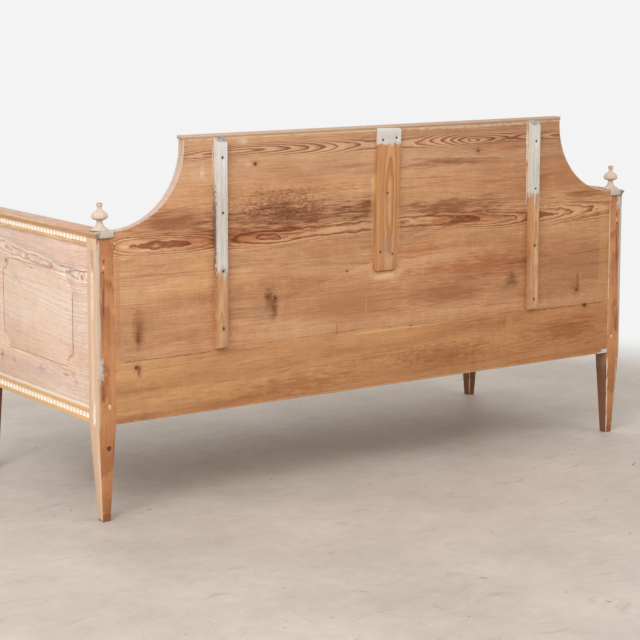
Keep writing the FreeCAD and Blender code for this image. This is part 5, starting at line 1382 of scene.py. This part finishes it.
@dataclass
class Finials:
    """Four turned finials: a flared foot, a thin neck, a lobed dome and a button on a stem."""

    places_mm: Mapping[str, tuple[float, float]] = field(default_factory=lambda: {
        "finial_front_right": (895.0, -346.5), "finial_rear_right": (895.0, 331.5),
        "finial_front_left": (-895.0, -346.5), "finial_rear_left": (-895.0, 331.5)})
    outline_mm: tuple[tuple[float, float], ...] = (
        (24.0, 769.2), (24.0, 772.4), (22.6, 773.4), (17.0, 776.5), (12.2, 781.0), (9.2, 786.0), (7.6, 791.0),
        (7.4, 794.6), (9.6, 797.0), (14.6, 798.4), (19.0, 800.0), (21.4, 803.0), (22.2, 806.6), (21.2, 811.0),
        (18.6, 815.0), (14.8, 818.8), (10.4, 821.6), (7.2, 823.2), (5.9, 826.0), (5.6, 829.6), (7.0, 832.6),
        (8.4, 835.6), (8.4, 839.2), (6.8, 841.0), (3.8, 841.6))
    lobes: int = 10
    steps: int = 6
    dome_mm: tuple[float, float] = (797.0, 820.0)
    stem_mm: float = 8.0
    lip_mm: float = 3.0
    line_turn: float = 0.01
    wood: Pine = BIRCH

    def build(self) -> None:
        """Turn and carve one finial, and copy it to the four corners."""
        model = self._turned()
        self._carved(model)
        for node, (x, y) in self.places_mm.items():
            take(model)
            bpy.ops.object.duplicate(linked=False)
            piece = bpy.context.active_object
            piece.name = f"{node}_turned"
            piece.location = Vector((x, y, 0.0)) * MM
            finish_mesh(piece)
            dress(piece, self.wood.material())
            hand_over(piece, Body.FRAME, "turned_birch", node)
        bpy.data.objects.remove(model)

    def _turned(self) -> bpy.types.Object:
        """Raise the outline from a ring, level by level.

        Returns:
            The turned piece, standing on the middle of the ground.
        """
        leave_all()
        radius, height = self.outline_mm[0]
        bpy.ops.mesh.primitive_circle_add(vertices=self.lobes * self.steps, radius=radius * MM,
                                          fill_type="NGON", location=(0.0, 0.0, height * MM))
        model = bpy.context.active_object
        model.name = "finial_model"
        bpy.ops.object.transform_apply(location=True, rotation=True, scale=True)
        bpy.ops.object.mode_set(mode="EDIT")
        bpy.ops.mesh.select_all(action="SELECT")
        for wide, tall in self.outline_mm[1:]:
            rise = (0.0, 0.0, (tall - height) * MM)
            bpy.ops.mesh.extrude_region_move(TRANSFORM_OT_translate={"value": rise})
            share = wide / radius
            bpy.ops.transform.resize(value=(share, share, 1.0), center_override=(0.0, 0.0, tall * MM))
            radius, height = wide, tall
        bpy.ops.object.mode_set(mode="OBJECT")
        return model

    def _carved(self, model: bpy.types.Object) -> None:
        """Cut the grooves between the lobes of the dome and round the whole.

        Args:
            model: the turned piece.
        """
        take(model)
        bpy.ops.object.mode_set(mode="EDIT")
        low, high = (height * MM for height in self.dome_mm)
        turn = 2.0 * math.pi / self.lobes
        # The groove's bottom first, then its two flanks: what is left of the radius, place, rise of the lip
        for share, shift, lift_mm in ((0.90, 0.0, 1.0), (0.97, turn / self.steps, 0.25),
                                      (0.97, -turn / self.steps, 0.25)):
            def in_groove(point: Vector, shift: float = shift) -> bool:
                """Tell whether a point of the dome lies on a groove's line."""
                angle = (math.atan2(point.y, point.x) - shift) % turn
                on_dome = low < point.z < high and point.xy.length > self.stem_mm * MM
                return on_dome and min(angle, turn - angle) < self.line_turn
            pick_points(model, in_groove)
            bpy.ops.transform.resize(value=(share, share, 1.0), center_override=(0.0, 0.0, 0.0))

            def at_lip(point: Vector, chosen: Callable[[Vector], bool] = in_groove) -> bool:
                """Tell whether a point of a groove is at the lower edge of the dome."""
                return chosen(point) and point.z < low + self.lip_mm * MM
            pick_points(model, at_lip)
            bpy.ops.transform.translate(value=(0.0, 0.0, lift_mm * MM))
        bpy.ops.object.mode_set(mode="OBJECT")
        smooth = model.modifiers.new("round", "SUBSURF")
        smooth.levels = smooth.render_levels = 1
        bpy.ops.object.modifier_apply(modifier=smooth.name)


@dataclass
class Ends(Woodwork):
    """Both ends: posts, panels, rails and arm caps."""

    posts: Mapping[str, Pine] = field(default_factory=lambda: {"right": NEAR_POST, "left": FAR_POST})
    arris: Pine = POST_ARRIS
    panel: Pine = END_PANEL
    rail: Pine = END_RAIL
    cap: Pine = ARM_CAP

    def build(self) -> None:
        """Build every piece of both ends."""
        for side, post in self.posts.items():
            for place in ("front", "rear"):
                self.stand_in(f"{place}_post_{side}", Body.FRAME, "limed_pine", post, 2.0, self.arris)
            self.stand_in(f"end_panel_{side}", Body.FRAME, "limed_pine", self.panel, 0.6)
            for node in ("arm_rail", "base_rail"):
                self.stand_in(f"{node}_{side}", Body.FRAME, "golden_rail_pine", self.rail, 0.6)
            self.stand_in(f"arm_cap_{side}", Body.FRAME, "arm_cap_pine", self.cap, 0.8)


# Pine seat scrubbed with lye: pale straw, soft sheen, its heart in long arches
LID_BOARD = Pine(
    "pine_scrubbed_lid", Cut.SEAT_BOARD, pale="#DDB88E", warm="#CDA174", late="#A8734A", heart="#8E5A38",
    ring_mm=5, board_mm=(-372.5, 222), contrast=0.3, heart_contrast=0.7, heart_mm=40, wander_mm=4,
    fibre=0.07, mottle=0.8, bloom=0.06, lime=0.15,
    pith=((-900, 30, 96), (-500, 16, 118), (-200, 24, 102), (100, 12, 112),
          (450, 26, 100), (900, 14, 110)),
    patches=(
        Patch((838, 0, 447), (4, 0, 0), "#B98E68", 0.5, 0.8, 0.5, (9, 20, 20)),
        Patch((0, -372.5, 440), (0, 4, 12), "#B98E68", 0.5, 0.8, 0.5, (20, 9, 9))),
)
# Narrow strips of the same board round the lid
SEAT_STRIP = replace(LID_BOARD, name="pine_scrubbed_strip", board_mm=None,
                     pith=((-900, 30, 300), (0, 24, 310), (900, 34, 305)))
END_STRIP = replace(LID_BOARD, name="pine_scrubbed_end_strip", cut=Cut.SLAT, board_mm=None,
                    pith=((-400, 30, 840), (0, 24, 850), (400, 34, 845)), both_ends=True)
# Underside pieces, only sawn: a shade darker and dull
LID_BATTEN = replace(LID_BOARD, name="pine_sawn_lid_batten", cut=Cut.SLAT, board_mm=None, both_ends=True,
                     patches=(), pale="#D4AC7E", warm="#C0925F",
                     pith=((-400, 30, 520), (0, 34, 525), (400, 30, 520)))
# Pit sawn slats: yellow pine with saw marks across, dull and dusty
SLAT = Pine(
    "pine_sawn_slat", Cut.SLAT, pale="#DCBB8C", warm="#CDA473", late="#A97B4C", heart="#97663C", ring_mm=4.5,
    board_mm=(-866, 102.12), contrast=0.4, heart_contrast=0.7, heart_mm=22, wander_mm=3.5, fibre=0.08,
    saw_marks=0.12, mottle=0.8, bloom=0.06, roughness=0.75,
    pith=((-400, 22, 38), (-150, 14, 46), (120, 24, 34), (400, 12, 42)),
    patches=(
        Patch((0, 0, 300), (0, 0, 6), "#A88460", 0.4, 0.8, 0.5, (30, 30, 9)),),
)
# Sawn pine of the hidden frame, never planed: tan with saw marks
STRETCHER = Pine(
    "pine_sawn_stretcher", Cut.BACK_BOARD, pale="#D2A878", warm="#BF9060", late="#996B40", ring_mm=4,
    contrast=0.3, heart_contrast=0.4, saw_marks=0.12, roughness=0.75,
    pith=((-900, 40, 250), (0, 30, 260), (900, 44, 255)))
STOP = replace(STRETCHER, name="pine_sawn_stop", cut=Cut.SLAT,
               pith=((-400, 40, -20), (0, 30, 20), (400, 44, 0)))
LEDGER = replace(STRETCHER, name="pine_sawn_ledger", cut=Cut.END_BOARD, both_ends=True,
                 pith=((-400, 40, 370), (0, 30, 380), (400, 44, 375)))
# Limed like the end panels, with its grain along the seat
APRON_BOARD = replace(
    END_PANEL, name="pine_limed_apron", cut=Cut.BACK_BOARD, both_ends=False, contrast=0.3,
    pith=((-900, 30, 366), (-600, 14, 372), (-300, 26, 360), (0, 10, 368),
          (300, 24, 374), (620, 12, 362), (900, 30, 366)),
    knots=(Knot(-340, 392, 5, "#A86A48"), Knot(510, 338, 4.5, "#9A6A58")), cracks=(),
    patches=(
        Patch((0, -363.5, 410), (0, 0, 14), "#E4BCB0", 0.4, 0.9, 0.9, (60, 20, 12)),
        Patch((0, -363.5, 318), (0, 0, 14), "#DDBCB4", 0.45, 0.9, 0.9, (60, 20, 12)),
        Patch((0, -360, 0), (0, 1.8, 0), "#A88E78", 0.6, 0.5, 0.5, (30, 5, 30)),
        Patch((0, -351.5, 360), (0, 5, 0), "#C99A70", 0.7, 0.5, 0.5, (60, 20, 12))),
)
# Golden like the end rails, white in its flutes
APRON_RAIL = replace(
    END_RAIL, name="pine_golden_apron_rail", cut=Cut.BACK_BOARD, both_ends=False,
    pith=((-900, 20, 250), (0, 30, 240), (900, 22, 252)),
    patches=(
        Patch((0, -368.5, 279), (0, 0, 8.5), "#FAE6D0", 0.8, 0.5, 0.4, (6, 4, 5)),
        Patch((0, -364.1, 279), (0, 3.4, 9), "#FFFAF3", 0.95, 0.35, 0.12, (4, 4, 8)),
        Patch((0, -366, 302), (0, 0, 5), "#DDD4C6", 0.8, 0.5, 0.5, (40, 14, 5)),
        Patch((0, -348.5, 280), (0, 6, 0), "#D2A070", 0.7, 0.6, 0.4, (60, 20, 12))),
)
# Hand forged butts and nails
IRON = WroughtIron()


@dataclass
class SeatBed(Woodwork):
    """What carries the sleeper: fixed slats, stretcher and ledgers, and the strips round the lid."""

    def build(self) -> None:
        """Build the fixed pieces round and under the seat."""
        self.stand_in("fixed_slats", Body.FRAME, "frame_pine", SLAT, 1.0)
        for node in ("front_stretcher", "slat_ledger"):
            self.stand_in(node, Body.FRAME, "frame_pine", STRETCHER, 1.2)
        self.stand_in("seat_rear_strip", Body.FRAME, "lid_pine", SEAT_STRIP, 1.0)
        for side in ("left", "right"):
            self.stand_in(f"seat_end_strip_{side}", Body.FRAME, "lid_pine", END_STRIP, 1.0)
            self.stand_in(f"lid_ledger_{side}", Body.FRAME, "frame_pine", LEDGER, 1.2)


@dataclass
class PullOut(Woodwork):
    """The front that draws out: fluted rail, board, halves of the front legs, slats and their stops."""

    slats: int = 8

    def build(self) -> None:
        """Build every piece of the pull-out."""
        self.stand_in("apron_board", Body.PULL_OUT, "limed_pine", APRON_BOARD, 0.8)
        self.stand_in("apron_rail", Body.PULL_OUT, "golden_rail_pine", APRON_RAIL, 0.6)
        for side in ("left", "right"):
            self.stand_in(f"pull_leg_{side}", Body.PULL_OUT, "limed_pine", PULL_LEG, 1.2, POST_ARRIS)
        self.stand_in("slat_bearer", Body.PULL_OUT, "frame_pine", STRETCHER, 1.0)
        self.stand_in("slat_stops", Body.PULL_OUT, "frame_pine", STOP, 1.0)
        for number in range(1, self.slats + 1):
            self.stand_in(f"pull_slat_{number}", Body.PULL_OUT, "frame_pine", SLAT, 1.0)


@dataclass
class SeatLid(Woodwork):
    """The seat: three boards on two battens."""

    boards: int = 3

    def build(self) -> None:
        """Build every wooden piece of the lid."""
        for number in range(1, self.boards + 1):
            self.stand_in(f"lid_board_{number}", Body.LID, "lid_pine", LID_BOARD, 1.6)
        for side in ("left", "right"):
            self.stand_in(f"lid_batten_{side}", Body.LID, "lid_pine", LID_BATTEN, 1.2)


@dataclass
class Ironwork:
    """The hinges, the pins and the nails."""

    iron: WroughtIron = IRON

    def build(self) -> None:
        """Ease and dress the forged pieces."""
        for node, body in (("hinge_lid_leaves", Body.LID), ("hinge_strip_leaves", Body.FRAME),
                           ("hinge_pins", Body.FRAME), ("batten_nails", Body.FRAME)):
            piece = eased(node, 0.4)
            dress(piece, self.iron.material())
            hand_over(piece, body, "wrought_iron", node)


@dataclass
class Studio:
    """The ground, the light and the camera."""

    camera_mm: Triple = (3208.25, 4650.55, 1391.10)
    down_degrees: float = 8.0428
    turn_degrees: float = 145.1754
    lens_mm: float = 107.1265
    shift: float = -0.10
    ground: PolishedConcrete = PolishedConcrete()
    aim_m: Triple = (0.0, 0.0, 0.5)
    lamps: tuple[tuple[str, Triple, float, float], ...] = (
        ("left", (4.3, 3.0, 3.9), 3.0, 175.0), ("right", (-2.4, 4.0, 3.8), 3.0, 45.0),
        ("front", (-1.8, -4.6, 3.4), 3.6, 24.0))

    def build(self) -> None:
        """Set the whole stage."""
        self._floor()
        self._world()
        for lamp in self.lamps:
            self._lamp(*lamp)
        self._camera()

    def _floor(self) -> None:
        """Lay the floor."""
        leave_all()
        bpy.ops.mesh.primitive_plane_add(size=16.0, location=(0.0, 0.0, 0.0))
        floor = bpy.context.active_object
        floor.name = "floor"
        dress(floor, self.ground.material())

    def _world(self) -> None:
        """Light the room evenly, and show it white to the camera and in glossy reflections."""
        world = bpy.data.worlds.new("studio")
        world.use_nodes = True
        tree = world.node_tree
        tree.nodes.clear()
        light = add_node(tree, "ShaderNodeLightPath")
        seen = light.outputs["Is Camera Ray"]
        for ray in ("Is Glossy Ray", "Is Transmission Ray"):
            seen = add_node(tree, "ShaderNodeMath", {"operation": "MAXIMUM"},
                            {0: seen, 1: light.outputs[ray]}).outputs[0]
        soft = add_node(tree, "ShaderNodeBackground", None, {"Color": linear("#FFFDFA"), "Strength": 0.67})
        shown = add_node(tree, "ShaderNodeBackground", None,
                         {"Color": linear(self.ground.ground), "Strength": 1.0})
        both = add_node(tree, "ShaderNodeMixShader", None, {0: seen, 1: soft, 2: shown})
        add_node(tree, "ShaderNodeOutputWorld", None, {"Surface": both})
        bpy.context.scene.world = world

    def _lamp(self, name: str, place: Triple, size: float, power: float) -> None:
        """Hang a soft square lamp that faces the bench.

        Args:
            name: the lamp's name.
            place: its place in metres.
            size: length of its sides in metres.
            power: its power in watts.
        """
        data = bpy.data.lights.new(name, "AREA")
        data.size = size
        data.energy = power
        lamp = bpy.data.objects.new(name, data)
        lamp.location = place
        lamp.rotation_euler = (Vector(self.aim_m) - Vector(place)).to_track_quat("-Z", "Y").to_euler()
        bpy.context.scene.collection.objects.link(lamp)

    def _camera(self) -> None:
        """Place the camera where the photograph was taken."""
        data = bpy.data.cameras.new("camera")
        data.lens = self.lens_mm
        data.sensor_width = 36.0
        data.shift_y = self.shift
        data.clip_end = 60.0
        camera = bpy.data.objects.new("camera", data)
        camera.location = Vector(self.camera_mm) * MM
        camera.rotation_euler = (math.radians(90.0 - self.down_degrees), 0.0, math.radians(self.turn_degrees))
        bpy.context.scene.collection.objects.link(camera)
        bpy.context.scene.camera = camera
        bpy.context.scene.view_settings.view_transform = "Standard"


def main() -> None:
    """Build the bench piece by piece and set the stage."""
    logging.basicConfig(level=logging.INFO, format="%(name)s: %(message)s")
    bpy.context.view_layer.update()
    for part in (Back(), Ends(), Finials(), SeatBed(), PullOut(), SeatLid(), Ironwork(), Studio()):
        there = set(bpy.data.objects.keys())
        part.build()
        for name in sorted(set(bpy.data.objects.keys()) - there):
            log.info("%s: %s built", type(part).__name__, name)


if __name__ == "__main__":
    main()
